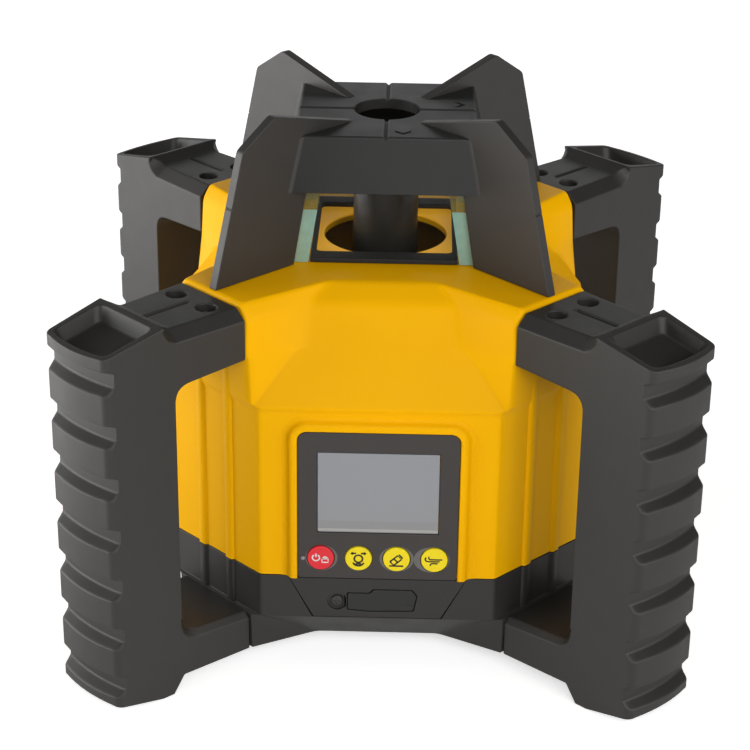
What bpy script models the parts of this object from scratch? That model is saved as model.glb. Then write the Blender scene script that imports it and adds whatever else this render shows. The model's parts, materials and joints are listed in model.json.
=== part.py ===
"""Rotating laser level: a yellow housing in four corner handles, with a glass lantern on its roof.

Front is -Y, up is +Z, and the origin is on the ground under the middle of the body.
Heights are drawn from a datum at the foot of the lowest grip bands. The feet reach FOOT_DROP below
it, and at the end everything is lifted by that much to stand on the ground.
A handle is drawn along +X (reach), +-Y (half width) and then turned to its corner.
"""
import math

import bmesh
import bpy
from mathutils import Matrix, Vector

MM = 0.001
GAP = 0.3 * MM

# Housing: heights and the half sizes of its octagon
TUB_BOTTOM_Z = 3.7 * MM
TUB_BEND_Z = 21.1 * MM
SPLIT_Z = 41.0 * MM
BROW_Z = 117.8 * MM
ROOF_Z = 159.4 * MM
FRONT_Y = 87.3 * MM
OCTAGON_CORNER = (49.0 * MM, 86.7 * MM)
OCTAGON_KNEE = (47.8 * MM, FRONT_Y)
DIAGONAL_REACH = 94.0 * MM
RIB_HALF_SPACING = 8.6 * MM
HEAD_HOLE_RADIUS = 26.1 * MM

# Handles
HANDLE_TURNS = {"front_left": 225, "front_right": 315, "back_right": 45, "back_left": 135}
ARM_END = 97.3 * MM
ARM_TOP_Z = 158.1 * MM
ARM_UNDER_Z = 137.2 * MM
LOWER_ARM_TOP = ((90.0 * MM, 20.2 * MM), (131.6 * MM, 23.2 * MM))
LOWER_ARM_UNDER = ((90.0 * MM, 2.9 * MM), (131.1 * MM, 3.9 * MM))
FOOT_DROP = 3.5 * MM
FOOT_FLAT = (136.5 * MM, 142.0 * MM)
FOOT_SLOPE = 0.21
POST_INNER = 131.6 * MM
SIDE_HALF_WIDTH = (22.0 * MM, 19.0 * MM)
BAND_REACH = 166.9 * MM
GROOVE_REACH = 162.2 * MM
BAND_COUNT = 7
BAND_TOP_Z = 140.3 * MM
BAND_PITCH = 22.47 * MM
BAND_FACE = 12.5 * MM
RIM_INNER = (136.4 * MM, 161.5 * MM)
RIM_OUTER = (164.0 * MM, 155.8 * MM)
SCREW_REACH = 106.6 * MM
SCREW_HALF_SPACING = 9.2 * MM
SCREW_RADIUS = 1.9 * MM
SCREW_SEAT_Z = 155.4 * MM

# Lugs of the housing inside the handle's arms: reach, half width and heights
UPPER_LUG = (111.5 * MM, 13.5 * MM, (141.0 * MM, 152.9 * MM))
LOWER_LUG = (110.0 * MM, 13.0 * MM, (8.0 * MM, 16.0 * MM))

# Lantern and guard: pairs are at the lower and the upper end
PANE_HALF = (37.0 * MM, 31.7 * MM)
PANE_TOP_Z = 191.2 * MM
CAP_BOTTOM_Z = 191.5 * MM
CAP_TOP_Z = 214.2 * MM
CAP_HALF = (41.3 * MM, 36.6 * MM)
PLUMB_RADIUS = 13.7 * MM
FIN_HALF = 2.1 * MM
FIN_PEAK = (63.6 * MM, 225.1 * MM)
FIN_SHOULDER = (80.4 * MM, 214.1 * MM)
FIN_TIP = (95.8 * MM, 159.1 * MM)
LEG_INNER = (54.0 * MM, 46.6 * MM)

# Front controls
PANEL_HALF = 32.6 * MM
PANEL_Z = (41.3 * MM, 108.0 * MM)
PANEL_Y = -89.7 * MM
SCREEN_HALF = 24.5 * MM
SCREEN_Z = (62.9 * MM, 98.9 * MM)
KEY_RADIUS = 5.5 * MM
KEY_PITCH = 15.55 * MM
KEY_Z = 50.8 * MM
KEYS = ("power_key", "mode_key", "speed_key", "scan_key")

# Charging port on the skirt
PORT_Y = 87.9 * MM
PORT_POCKET_Y = 84.9 * MM
PORT_TOP = (36.5 * MM, 40.1 * MM)
PORT_BOTTOM = (26.5 * MM, 21.8 * MM)
FLAP_HINGE_X = -12.4 * MM
FLAP_THICK = 1.4 * MM
FLAP_SCREW = (-16.6 * MM, 29.0 * MM)
PLUG_X = (3.0 * MM, 11.0 * MM)
PLUG_Z = (27.4 * MM, 31.0 * MM)
SOCKET_X = (0.5 * MM, 13.5 * MM)
SOCKET_Z = (25.6 * MM, 33.0 * MM)

# Beam train: everything on the tilting axis
PIVOT_Z = 100.0 * MM
LASER_TUBE_Z = (70.0 * MM, 128.0 * MM)
HEAD_RADIUS = 13.7 * MM
HEAD_Z = (147.0 * MM, 197.0 * MM)
TUBE_RADII = (11.0 * MM, 16.0 * MM)
SPINDLE_RADIUS = 8.0 * MM
PULLEY_Z = (136.0 * MM, 142.0 * MM)
HEAD_PULLEY_RADIUS = 20.0 * MM
MOTOR_PULLEY_RADIUS = 6.0 * MM
MOTOR_Y = 31.0 * MM
RING_RADII = (24.0 * MM, 32.0 * MM)
TRUNNION_RADIUS = 3.0 * MM
FIT = 0.35 * MM
CHASSIS_Z = (46.0 * MM, 50.0 * MM)
LEVER_Y = 50.0 * MM
LEVER_X = 27.0 * MM

# Battery door on the back
DOOR_HALF = 33.4 * MM
DOOR_Z = (46.2 * MM, 105.5 * MM)
DOOR_Y = (87.6 * MM, 90.1 * MM)
DOOR_HINGE = (89.8 * MM, 43.7 * MM)
KNUCKLE_RADIUS = 2.2 * MM
KNUCKLE_SPLIT = 12.0 * MM
KNUCKLE_END = 20.0 * MM
LOCK_Z = 98.5 * MM
PIN_RADIUS = 1.0 * MM

# Tripod bush in the floor
BUSH_RADIUS = 14.0 * MM

FINISHES = {
    "yellow_plastic": ((0.83, 0.42, 0.003), 0.42, 0.0),
    "dark_plastic": ((0.045, 0.042, 0.04), 0.55, 0.0),
    "guard_plastic": ((0.07, 0.062, 0.056), 0.5, 0.0),
    "panel_plastic": ((0.068, 0.061, 0.057), 0.45, 0.0),
    "black_plastic": ((0.012, 0.012, 0.012), 0.35, 0.0),
    "rubber": ((0.02, 0.02, 0.02), 0.75, 0.0),
    "red_key": ((0.65, 0.03, 0.04), 0.45, 0.0),
    "yellow_key": ((0.8, 0.62, 0.01), 0.45, 0.0),
    "screen": ((0.29, 0.3, 0.31), 0.2, 0.0),
    "glass": ((0.5, 0.72, 0.64), 0.05, 0.0),
    "steel": ((0.5, 0.5, 0.52), 0.3, 1.0),
    "brass": ((0.7, 0.5, 0.2), 0.3, 1.0),
    "aluminium": ((0.6, 0.6, 0.62), 0.4, 1.0),
    "board": ((0.02, 0.16, 0.06), 0.5, 0.0),
}


def clear_scene():
    for thing in list(bpy.data.objects):
        bpy.data.objects.remove(thing, do_unlink=True)


def finish_material(name):
    """The material of one finish, made the first time it is asked for."""
    material = bpy.data.materials.get(name)
    if material is None:
        colour, roughness, metallic = FINISHES[name]
        material = bpy.data.materials.new(name)
        material.use_nodes = True
        shader = material.node_tree.nodes["Principled BSDF"]
        shader.inputs["Base Color"].default_value = (*colour, 1.0)
        shader.inputs["Roughness"].default_value = roughness
        shader.inputs["Metallic"].default_value = metallic
    return material


def mesh_object(name, points, faces, finish):
    """A closed mesh of the given points and faces, with its faces turned outward."""
    mesh = bpy.data.meshes.new(name)
    shape = bmesh.new()
    corners = [shape.verts.new(point) for point in points]
    for face in faces:
        shape.faces.new([corners[index] for index in face])
    bmesh.ops.recalc_face_normals(shape, faces=shape.faces)
    shape.to_mesh(mesh)
    shape.free()
    mesh.materials.append(finish_material(finish))
    thing = bpy.data.objects.new(name, mesh)
    bpy.context.scene.collection.objects.link(thing)
    return thing


def loft(name, rings, finish="dark_plastic"):
    """A solid through rings of points, each ring with the same number of them."""
    count = len(rings[0])
    points = [point for ring in rings for point in ring]
    faces = [tuple(range(count)), tuple(range(len(points) - count, len(points)))]
    for level in range(len(rings) - 1):
        low = level * count
        for step in range(count):
            after = (step + 1) % count
            faces.append((low + step, low + after, low + count + after, low + count + step))
    return mesh_object(name, points, faces, finish)


def prism(name, outline, low, high, plane="XY", finish="dark_plastic"):
    """A solid of one outline, drawn in a plane and running from low to high across it."""
    def lift(point, height):
        first, second = point
        return {"XY": (first, second, height),
                "XZ": (first, height, second),
                "YZ": (height, first, second)}[plane]

    return loft(name, [[lift(point, low) for point in outline],
                       [lift(point, high) for point in outline]], finish)


def box(name, low, high, finish="dark_plastic"):
    """A solid between two opposite corners."""
    outline = [(low[0], low[1]), (high[0], low[1]), (high[0], high[1]), (low[0], high[1])]
    return prism(name, outline, low[2], high[2], "XY", finish)


def circle(radius, sides, centre=(0.0, 0.0)):
    angles = [2 * math.pi * step / sides for step in range(sides)]
    return [(centre[0] + radius * math.cos(a), centre[1] + radius * math.sin(a)) for a in angles]


def rod(name, radius, low, high, centre=(0.0, 0.0), plane="XY", sides=24, finish="dark_plastic"):
    return prism(name, circle(radius, sides, centre), low, high, plane, finish)


def turned(name, profile, sides=32, finish="dark_plastic"):
    """A ring turned about Z from a closed profile of (radius, height) that stays off the axis."""
    count = len(profile)
    points = []
    for step in range(sides):
        angle = 2 * math.pi * step / sides
        points += [(r * math.cos(angle), r * math.sin(angle), z) for r, z in profile]
    faces = []
    for step in range(sides):
        here, there = step * count, (step + 1) % sides * count
        for index in range(count):
            after = (index + 1) % count
            faces.append((here + index, there + index, there + after, here + after))
    return mesh_object(name, points, faces, finish)


def tube(name, inner, outer, low, high, sides=32, finish="dark_plastic"):
    return turned(name, [(inner, low), (outer, low), (outer, high), (inner, high)], sides, finish)


def rounded(outline, radius, steps=3):
    """The outline with each corner replaced by an arc that touches both of its edges."""
    result = []
    for index, here in enumerate(outline):
        here = Vector(here)
        before = (Vector(outline[index - 1]) - here).normalized()
        after = (Vector(outline[(index + 1) % len(outline)]) - here).normalized()
        half = before.angle(after) / 2
        centre = here + (before + after).normalized() * radius / math.sin(half)
        start = here + before * radius / math.tan(half) - centre
        end = here + after * radius / math.tan(half) - centre
        sweep = start.angle_signed(end)
        for step in range(steps + 1):
            arm = start.copy()
            arm.rotate(Matrix.Rotation(-sweep * step / steps, 2))
            result.append(tuple(centre + arm))
    return result


def combine(target, tools, operation):
    """Apply a Boolean with each tool in turn, and remove the tools."""
    for tool in tools:
        modifier = target.modifiers.new("combine", "BOOLEAN")
        modifier.operation = operation
        modifier.object = tool
        graph = bpy.context.evaluated_depsgraph_get()
        mesh = bpy.data.meshes.new_from_object(target.evaluated_get(graph))
        target.modifiers.clear()
        target.data = mesh
        bpy.data.objects.remove(tool, do_unlink=True)
    return target


def cut(target, *tools):
    return combine(target, tools, "DIFFERENCE")


def join(target, *tools):
    return combine(target, tools, "UNION")


def turn_to(thing, degrees):
    """Turn a tool about Z, into its mesh."""
    thing.data.transform(Matrix.Rotation(math.radians(degrees), 4, "Z"))
    return thing


def set_origin(thing, point):
    """Move the object's origin onto its joint axis without moving its shape."""
    thing.data.transform(Matrix.Translation(-Vector(point)))
    thing.location = point
    return thing


def attach(parent, *children):
    bpy.context.view_layer.update()
    for child in children:
        child.parent = parent
        child.matrix_parent_inverse = parent.matrix_world.inverted()


def four_sides(corner, knee, height):
    """One level of the housing: corner and knee of a side, mirrored and turned to all sides."""
    side = [(-corner[0], -corner[1]), (-knee[0], -knee[1]), (knee[0], -knee[1]), (corner[0], -corner[1])]
    ring = []
    for quarter in range(4):
        turn = Matrix.Rotation(math.radians(90 * quarter), 2)
        ring += [(*(turn @ Vector(point)), height) for point in side]
    return ring


def shell(name, levels, hollow, finish):
    """A housing half: its outer levels, less its hollow levels."""
    body = loft(name, [four_sides(*level) for level in levels], finish)
    return cut(body, loft("hollow", [four_sides(*level) for level in hollow]))


def add_ribs_and_lugs(body, rib_reach, rib_z, lug_reach, lug_half, lug_z):
    """Two upright ribs and one lug for the handle on each diagonal face."""
    rib_half = 2.2 * MM
    for degrees in HANDLE_TURNS.values():
        for side in (-1, 1):
            middle = side * RIB_HALF_SPACING
            rib = box("rib", (DIAGONAL_REACH, middle - rib_half, rib_z[0]),
                      (rib_reach, middle + rib_half, rib_z[1]))
            join(body, turn_to(rib, degrees))
        lug = box("lug", (DIAGONAL_REACH, -lug_half, lug_z[0]), (lug_reach, lug_half, lug_z[1]))
        join(body, turn_to(lug, degrees))


def base_tub():
    """The dark tub: upright skirt, a front and sides that lean in below it, and four legs."""
    tub = shell("base_tub",
                [((52.3 * MM, 84.8 * MM), (25.7 * MM, 73.5 * MM), TUB_BOTTOM_Z),
                 (OCTAGON_CORNER, OCTAGON_KNEE, TUB_BEND_Z),
                 (OCTAGON_CORNER, OCTAGON_KNEE, SPLIT_Z - GAP)],
                [((46.0 * MM, 78.0 * MM), (24.0 * MM, 67.0 * MM), TUB_BOTTOM_Z + 4 * MM),
                 ((45.0 * MM, 81.0 * MM), (44.0 * MM, 82.0 * MM), TUB_BEND_Z),
                 ((45.0 * MM, 81.0 * MM), (44.0 * MM, 82.0 * MM), SPLIT_Z + 1 * MM)],
                "dark_plastic")
    add_ribs_and_lugs(tub, 97.0 * MM, (20.9 * MM, SPLIT_Z - GAP), *LOWER_LUG)
    standoff_at, standoff_radius = 38.0 * MM, 5.0 * MM
    for x in (-standoff_at, standoff_at):
        for y in (-standoff_at, standoff_at):
            join(tub, rod("standoff", standoff_radius, TUB_BOTTOM_Z + 2 * MM, CHASSIS_Z[0] - GAP,
                          (x, y), sides=12))
    cut(tub, rod("bush_hole", BUSH_RADIUS + GAP, 0.0, 12 * MM))
    cut(tub, prism("plate_pocket", port_outline(GAP), -FRONT_Y - 1 * MM, -PORT_POCKET_Y, "XZ"))
    return cut(tub, box("socket_hole", (SOCKET_X[0] - GAP, -90 * MM, SOCKET_Z[0] - GAP),
                        (SOCKET_X[1] + GAP, -78 * MM, SOCKET_Z[1] + GAP)))


def upper_housing():
    """The yellow shell: octagon below, and above the brow four scooped foreheads up to the roof."""
    forehead = ((53.4 * MM, 84.2 * MM), (30.8 * MM, 73.7 * MM), 139.3 * MM)
    body = shell("upper_housing",
                 [(OCTAGON_CORNER, OCTAGON_KNEE, SPLIT_Z),
                  (OCTAGON_CORNER, OCTAGON_KNEE, BROW_Z - 1.3 * MM),
                  ((52.4 * MM, 84.5 * MM), (49.2 * MM, 88.5 * MM), BROW_Z),
                  forehead,
                  ((53.0 * MM, 83.5 * MM), (29.0 * MM, 64.0 * MM), ROOF_Z - 5.9 * MM),
                  ((55.7 * MM, 80.4 * MM), (21.5 * MM, 55.0 * MM), ROOF_Z)],
                 [((47.0 * MM, 83.4 * MM), (46.0 * MM, 84.0 * MM), SPLIT_Z - 1 * MM),
                  ((47.0 * MM, 83.4 * MM), (46.0 * MM, 84.0 * MM), 113.5 * MM),
                  ((50.5 * MM, 80.5 * MM), (30.0 * MM, 70.0 * MM), 136.0 * MM),
                  ((50.0 * MM, 79.8 * MM), (27.5 * MM, 60.5 * MM), ROOF_Z - 8 * MM)],
                 "yellow_plastic")
    add_ribs_and_lugs(body, 97.2 * MM, (SPLIT_Z, ARM_UNDER_Z - 0.4 * MM), *UPPER_LUG)
    for degrees in HANDLE_TURNS.values():
        for side in (-1, 1):
            hole = rod("hole", SCREW_RADIUS + GAP, UPPER_LUG[2][0] - 1 * MM, ROOF_Z,
                       (SCREW_REACH, side * SCREW_HALF_SPACING), sides=12)
            cut(body, turn_to(hole, degrees))
    join(body, panel_frame())
    cut(body, rod("head_hole", HEAD_HOLE_RADIUS, ROOF_Z - 20 * MM, ROOF_Z + 5 * MM, sides=48))
    cut(body, box("panel_hole", (-30 * MM, -95 * MM, 44.5 * MM), (30 * MM, -80 * MM, 103.5 * MM)))
    cut(body, box("battery_hole", (-31 * MM, 80 * MM, 47 * MM), (31 * MM, 95 * MM, 103.5 * MM)))
    for side in (-1, 1):
        ends = sorted((side * (KNUCKLE_SPLIT + GAP), side * KNUCKLE_END))
        join(body, housing_knuckle(ends))
    return cut(body, rod("pin_hole", PIN_RADIUS + GAP, -KNUCKLE_END - 1 * MM, KNUCKLE_END + 1 * MM,
                         DOOR_HINGE, "YZ", 12))


def panel_frame():
    """The raised frame round the top and sides of the control panel."""
    outer, inner = PANEL_HALF + 3.9 * MM, PANEL_HALF + GAP
    top, inner_top = PANEL_Z[1] + 2.5 * MM, PANEL_Z[1] + GAP
    arch = []
    for half, height, radius in ((outer, top, 6 * MM), (inner, inner_top, 4 * MM)):
        below = SPLIT_Z - 20 * MM
        side = rounded([(-half, below), (-half, height), (half, height), (half, below)], radius)
        arch.append([point for point in side if point[1] > SPLIT_Z])
    outline = [(-outer, SPLIT_Z), *arch[0], (outer, SPLIT_Z), (inner, SPLIT_Z), *reversed(arch[1]),
               (-inner, SPLIT_Z)]
    return prism("frame", outline, PANEL_Y - 0.5 * MM, -FRONT_Y + 1 * MM, "XZ")


def housing_seal():
    """The seal ring that sits on the tub's rim inside the shell."""
    levels = []
    for height in (SPLIT_Z, SPLIT_Z + 2 * MM):
        levels.append(((46.2 * MM, 82.6 * MM), (45.2 * MM, 83.2 * MM), height))
    inner = [((44.6 * MM, 80.8 * MM), (43.6 * MM, 81.4 * MM), height)
             for height in (SPLIT_Z - 1 * MM, SPLIT_Z + 3 * MM)]
    return shell("housing_seal", levels, inner, "rubber")


def side_half_width(reach):
    """Half width of a handle at a distance from the axis: wide at the body, narrow at the post."""
    share = (reach - ARM_END) / (162.0 * MM - ARM_END)
    return SIDE_HALF_WIDTH[0] + share * (SIDE_HALF_WIDTH[1] - SIDE_HALF_WIDTH[0])


def handle_ring(height, band):
    """One level of a handle: straight sides and a bowed outer face, round or sharp at its corners."""
    corner_radius = 3.5 * MM
    half = SIDE_HALF_WIDTH[1]
    bow_half = half - corner_radius
    bow = 2.0 * MM if band else 1.5 * MM
    quarter = []
    if band:
        middle = BAND_REACH
        for angle in (math.radians(90), math.radians(45), 0.0):
            quarter.append((middle - bow - corner_radius + corner_radius * math.cos(angle),
                            bow_half + corner_radius * math.sin(angle)))
    else:
        middle = GROOVE_REACH
        sharp_reach = middle - bow * (half / bow_half) ** 2
        quarter = [(sharp_reach - 0.8 * MM, half), (sharp_reach, half)]
        quarter.append((middle - bow, bow_half))
    for share in (0.5, 0.0):
        quarter.append((middle - bow * share * share, bow_half * share))
    outer = quarter + [(reach, -across) for reach, across in reversed(quarter[:-1])]
    root = side_half_width(ARM_END)
    return [(reach, across, height) for reach, across in [(ARM_END, root), *outer, (ARM_END, -root)]]


def handle_blank():
    """The handle's outer body: raised bands with sloped ledges between the grooves."""
    ledge, groove = 2.9 * MM, 6.3 * MM
    rings = [handle_ring(-FOOT_DROP - 1 * MM, True)]
    for index in reversed(range(BAND_COUNT)):
        top = BAND_TOP_Z - index * BAND_PITCH
        rings.append(handle_ring(top, True))
        rings.append(handle_ring(top + ledge, False))
        rings.append(handle_ring(top + ledge + groove, False))
        rings.append(handle_ring(top + BAND_PITCH - BAND_FACE, True))
    rings.append(handle_ring(RIM_INNER[1] + 6 * MM, True))
    return loft("handle", rings)


def rim_height(reach):
    """Height of the sloped cap rim at a distance from the axis."""
    slope = (RIM_OUTER[1] - RIM_INNER[1]) / (RIM_OUTER[0] - RIM_INNER[0])
    return RIM_INNER[1] + slope * (reach - RIM_INNER[0])


def cap_dish():
    """The tool that hollows the handle's cap: sloped walls down to a floor parallel to the rim."""
    depth, wall_slope, rim_width = 6.2 * MM, 2.2 * MM, 2.6 * MM
    rings = []
    for drop, inset in ((depth, rim_width + wall_slope), (-depth / 2, rim_width - wall_slope / 2)):
        near, far = RIM_INNER[0] + inset, BAND_REACH - 2.0 * MM - inset
        half = SIDE_HALF_WIDTH[1] - inset
        corners = [(near, -half), (far, -half), (far + 2.0 * MM, 0.0), (far, half), (near, half)]
        outline = rounded(corners, 3.0 * MM, 2)
        rings.append([(reach, across, rim_height(reach) - drop) for reach, across in outline])
    return loft("dish", rings)


def arm_edge(side, line, width, drop):
    """The tool that slants the upper edge of an arm along a line of (reach, height) down its side."""
    past, above = 1 * MM, 0.1 * MM
    rings = []
    for reach, top in line:
        half = side_half_width(reach)
        inner, outer = side * (half - width), side * (half + past)
        rings.append([(reach, inner, top + above), (reach, outer, top + above),
                      (reach, outer, top - drop * (width + past) / width)])
    return loft("edge", rings)


def handle():
    """A corner handle: upper and lower arm, post with grip bands, foot and dished cap."""
    near, far, beyond, fillet = 90 * MM, 200 * MM, 30 * MM, 7.0 * MM
    window = rounded([LOWER_ARM_TOP[1], (POST_INNER, ARM_UNDER_Z - 2.5 * MM), (near, ARM_UNDER_Z),
                      LOWER_ARM_TOP[0]], fillet)
    body = handle_blank()
    cut(body, prism("window", window, -beyond, beyond, "XZ"))
    over = [(near, ARM_TOP_Z), (RIM_INNER[0] - 4.6 * MM, ARM_TOP_Z), RIM_INNER,
            (far, rim_height(far)), (far, 220 * MM), (near, 220 * MM)]
    cut(body, prism("over", over, -beyond, beyond, "XZ"))
    foot_tip_z = (far - FOOT_FLAT[1]) * FOOT_SLOPE - FOOT_DROP
    under = [*LOWER_ARM_UNDER, (FOOT_FLAT[0], -FOOT_DROP), (FOOT_FLAT[1], -FOOT_DROP), (far, foot_tip_z),
             (far, -beyond), (near, -beyond)]
    cut(body, prism("under", under, -beyond, beyond, "XZ"))
    for side in (-1, 1):
        line = [(near, ARM_TOP_Z), (RIM_INNER[0] - 5 * MM, ARM_TOP_Z)]
        cut(body, arm_edge(side, line, 5.3 * MM, 4.6 * MM))
        cut(body, arm_edge(side, LOWER_ARM_TOP, 2.6 * MM, 3.0 * MM))
    cut(body, cap_dish())
    slit_half, slit_depth = 1.0 * MM, 1.5 * MM
    slit_reach = (108 * MM, 130 * MM)
    cut(body, box("slit", (slit_reach[0], -slit_half, ARM_TOP_Z - slit_depth),
                  (slit_reach[1], slit_half, ARM_TOP_Z + 5 * MM)))
    clearance = 0.6 * MM
    for reach, half, (low, high) in (UPPER_LUG, LOWER_LUG):
        cut(body, box("pocket", (near, -half - clearance, low - clearance),
                      (reach + clearance, half + clearance, high + clearance)))
    for side in (-1, 1):
        place = (SCREW_REACH, side * SCREW_HALF_SPACING)
        cut(body, rod("hole", SCREW_RADIUS + GAP, 150 * MM, 160 * MM, place, sides=12))
        cut(body, rod("recess", 4.2 * MM, SCREW_SEAT_Z, 165 * MM, place, sides=20))
    return body


def handle_screw():
    """A cross-recess screw standing in its arm."""
    head_radius, head_height = 3.6 * MM, 1.9 * MM
    seat = SCREW_SEAT_Z + GAP
    screw = rod("screw", SCREW_RADIUS, 143 * MM, seat + 0.5 * MM, sides=12, finish="steel")
    join(screw, rod("head", head_radius, seat, seat + head_height, sides=20))
    for long, short in ((2.2 * MM, 0.5 * MM), (0.5 * MM, 2.2 * MM)):
        cut(screw, box("slot", (-long, -short, seat + 0.7 * MM), (long, short, seat + 5 * MM)))
    return screw


def place_copy(name, mesh, degrees, place=(0.0, 0.0, 0.0)):
    """Another object of the same mesh, turned to a corner about Z."""
    copy = bpy.data.objects.new(name, mesh)
    bpy.context.scene.collection.objects.link(copy)
    copy.location = Matrix.Rotation(math.radians(degrees), 3, "Z") @ Vector(place)
    copy.rotation_euler.z = math.radians(degrees)


def handles():
    """Four handles alike, with two screws in the arm of each."""
    pattern, screw = handle(), handle_screw()
    for corner, degrees in HANDLE_TURNS.items():
        place_copy("handle_" + corner, pattern.data, degrees)
        for number, side in ((1, -1), (2, 1)):
            place_copy(f"screw_{corner}_{number}", screw.data, degrees,
                       (SCREW_REACH, side * SCREW_HALF_SPACING, 0.0))
    for used in (pattern, screw):
        bpy.data.objects.remove(used, do_unlink=True)


def fin_edge(height):
    """Reach of a fin's sloped outer edge at a height."""
    share = (FIN_SHOULDER[1] - height) / (FIN_SHOULDER[1] - FIN_TIP[1])
    return FIN_SHOULDER[0] + share * (FIN_TIP[0] - FIN_SHOULDER[0])


def guard_cap():
    """The cap over the lantern: roof with plumb hole and sighting grooves, skirt, flange and fins."""
    def square(half, height):
        return [(x, y, height) for x, y in ((-half, -half), (half, -half), (half, half), (-half, half))]

    wall, roof, flange, flange_half = 3.2 * MM, 4.5 * MM, 3.0 * MM, 28.0 * MM
    cap = loft("guard_cap", [square(CAP_HALF[0], CAP_BOTTOM_Z), square(CAP_HALF[1], CAP_TOP_Z - 1 * MM),
                             square(CAP_HALF[1] - 0.8 * MM, CAP_TOP_Z)], "guard_plastic")
    fin_start, fin_root, fin_low = 21 * MM, 47 * MM, CAP_TOP_Z - 3 * MM
    fin = [(fin_start, CAP_TOP_Z), FIN_PEAK, FIN_SHOULDER, (fin_edge(CAP_BOTTOM_Z), CAP_BOTTOM_Z),
           (fin_root, CAP_BOTTOM_Z), (fin_root, fin_low), (fin_start, fin_low)]
    for degrees in HANDLE_TURNS.values():
        join(cap, turn_to(prism("fin", fin, -FIN_HALF, FIN_HALF, "XZ"), degrees))
    cut(cap, loft("hollow", [square(flange_half, CAP_BOTTOM_Z - 1 * MM),
                             square(flange_half, CAP_BOTTOM_Z + flange),
                             square(CAP_HALF[0] - wall - 0.6 * MM, CAP_BOTTOM_Z + flange),
                             square(CAP_HALF[1] - wall, CAP_TOP_Z - roof)]))
    cut(cap, rod("plumb_hole", PLUMB_RADIUS, CAP_TOP_Z - 10 * MM, CAP_TOP_Z + 5 * MM, sides=40))
    groove_half, groove_depth, above = 1.5 * MM, 1.4 * MM, CAP_TOP_Z + 0.1 * MM
    groove = [(-groove_half, above), (0.0, CAP_TOP_Z - groove_depth), (groove_half, above)]
    for plane in ("XZ", "YZ"):
        cut(cap, prism("groove", groove, -CAP_HALF[0], CAP_HALF[0], plane))
    return cap


def guard_legs():
    """Four fins that stand on the roof and carry the cap."""
    foot_z, head_z = ROOF_Z + GAP, CAP_BOTTOM_Z - GAP
    outline = [(LEG_INNER[0], foot_z), (fin_edge(foot_z), foot_z), (fin_edge(head_z), head_z),
               (LEG_INNER[1], head_z)]
    for corner, degrees in HANDLE_TURNS.items():
        leg = prism("guard_leg_" + corner, outline, -FIN_HALF, FIN_HALF, "XZ", "guard_plastic")
        leg.rotation_euler.z = math.radians(degrees)


def pane(name, degrees, foot, thick, overlap):
    """A leaning pane drawn on the front, shorter at each end by the overlap, and turned to its side."""
    rings = []
    for height in (foot, PANE_TOP_Z):
        half = pane_half(height)
        across = half - overlap
        rings.append([(-across, -half, height), (across, -half, height),
                      (across, thick - half, height), (-across, thick - half, height)])
    turn_to(loft(name, rings, "glass"), degrees)


def pane_half(height):
    """Half width of the lantern at a height."""
    share = (height - ROOF_Z - GAP) / (PANE_TOP_Z - ROOF_Z - GAP)
    return PANE_HALF[0] + share * (PANE_HALF[1] - PANE_HALF[0])


def lantern():
    """Two side panes that lap the front and back panes, and the gasket that these two stand on."""
    low, side_thick, front_thick, gasket_thick = ROOF_Z + GAP, 6.0 * MM, 3.6 * MM, 2.0 * MM
    lap = side_thick + GAP
    pane("pane_left", 270, low, side_thick, 0.0)
    pane("pane_right", 90, low, side_thick, 0.0)
    pane("pane_front", 0, low + gasket_thick + GAP, front_thick, lap)
    pane("pane_back", 180, low + gasket_thick + GAP, front_thick, lap)
    half_y, inner = pane_half(low + gasket_thick), 28.2 * MM
    half_x = half_y - lap
    gasket = box("window_gasket", (-half_x, -half_y, low), (half_x, half_y, low + gasket_thick), "rubber")
    hole = rounded([(-inner, -inner), (inner, -inner), (inner, inner), (-inner, inner)], 3 * MM)
    cut(gasket, prism("hole", hole, ROOF_Z - 5 * MM, ROOF_Z + 10 * MM))


def panel_and_display():
    """Control panel in its frame, the display in its window, and the board behind them."""
    back = -FRONT_Y - GAP
    low, high = PANEL_Z
    corners = [(-PANEL_HALF, low), (PANEL_HALF, low), (PANEL_HALF, high), (-PANEL_HALF, high)]
    panel = prism("control_panel", rounded(corners, 3.6 * MM), PANEL_Y, back, "XZ", "panel_plastic")
    cut(panel, box("window", (-SCREEN_HALF - GAP, -95 * MM, SCREEN_Z[0] - GAP),
                   (SCREEN_HALF + GAP, -80 * MM, SCREEN_Z[1] + GAP)))
    for place in key_places():
        cut(panel, rod("hole", KEY_RADIUS + GAP, -95 * MM, -80 * MM, place, "XZ", 28))
    box("display", (-SCREEN_HALF, PANEL_Y + GAP, SCREEN_Z[0]),
        (SCREEN_HALF, -83 * MM, SCREEN_Z[1]), "screen")
    box("main_board", (-34 * MM, -79 * MM, 46 * MM), (34 * MM, -77.4 * MM, 104 * MM), "board")


def key_places():
    return [((index - 1.5) * KEY_PITCH, KEY_Z) for index in range(len(KEYS))]


def keys():
    """Four round keys that press into the panel."""
    proud, depth = 0.5 * MM, 3.6 * MM
    for name, (x, z) in zip(KEYS, key_places()):
        finish = "red_key" if name == KEYS[0] else "yellow_key"
        top = circle(KEY_RADIUS - 0.4 * MM, 28)
        rim = circle(KEY_RADIUS, 28)
        key = loft(name, [[(a, PANEL_Y - proud, b) for a, b in top],
                          [(a, PANEL_Y - proud + 0.4 * MM, b) for a, b in rim],
                          [(a, PANEL_Y - proud + depth, b) for a, b in rim]], finish)
        key.location = (x, 0.0, z)


def port_outline(margin=0.0):
    """The port plate's trapezoid, seen from the front."""
    top, bottom = PORT_TOP[0] + margin, PORT_BOTTOM[0] + margin
    return [(-bottom, PORT_BOTTOM[1] - margin), (bottom, PORT_BOTTOM[1] - margin),
            (top, PORT_TOP[1] + margin), (-top, PORT_TOP[1] + margin)]


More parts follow.
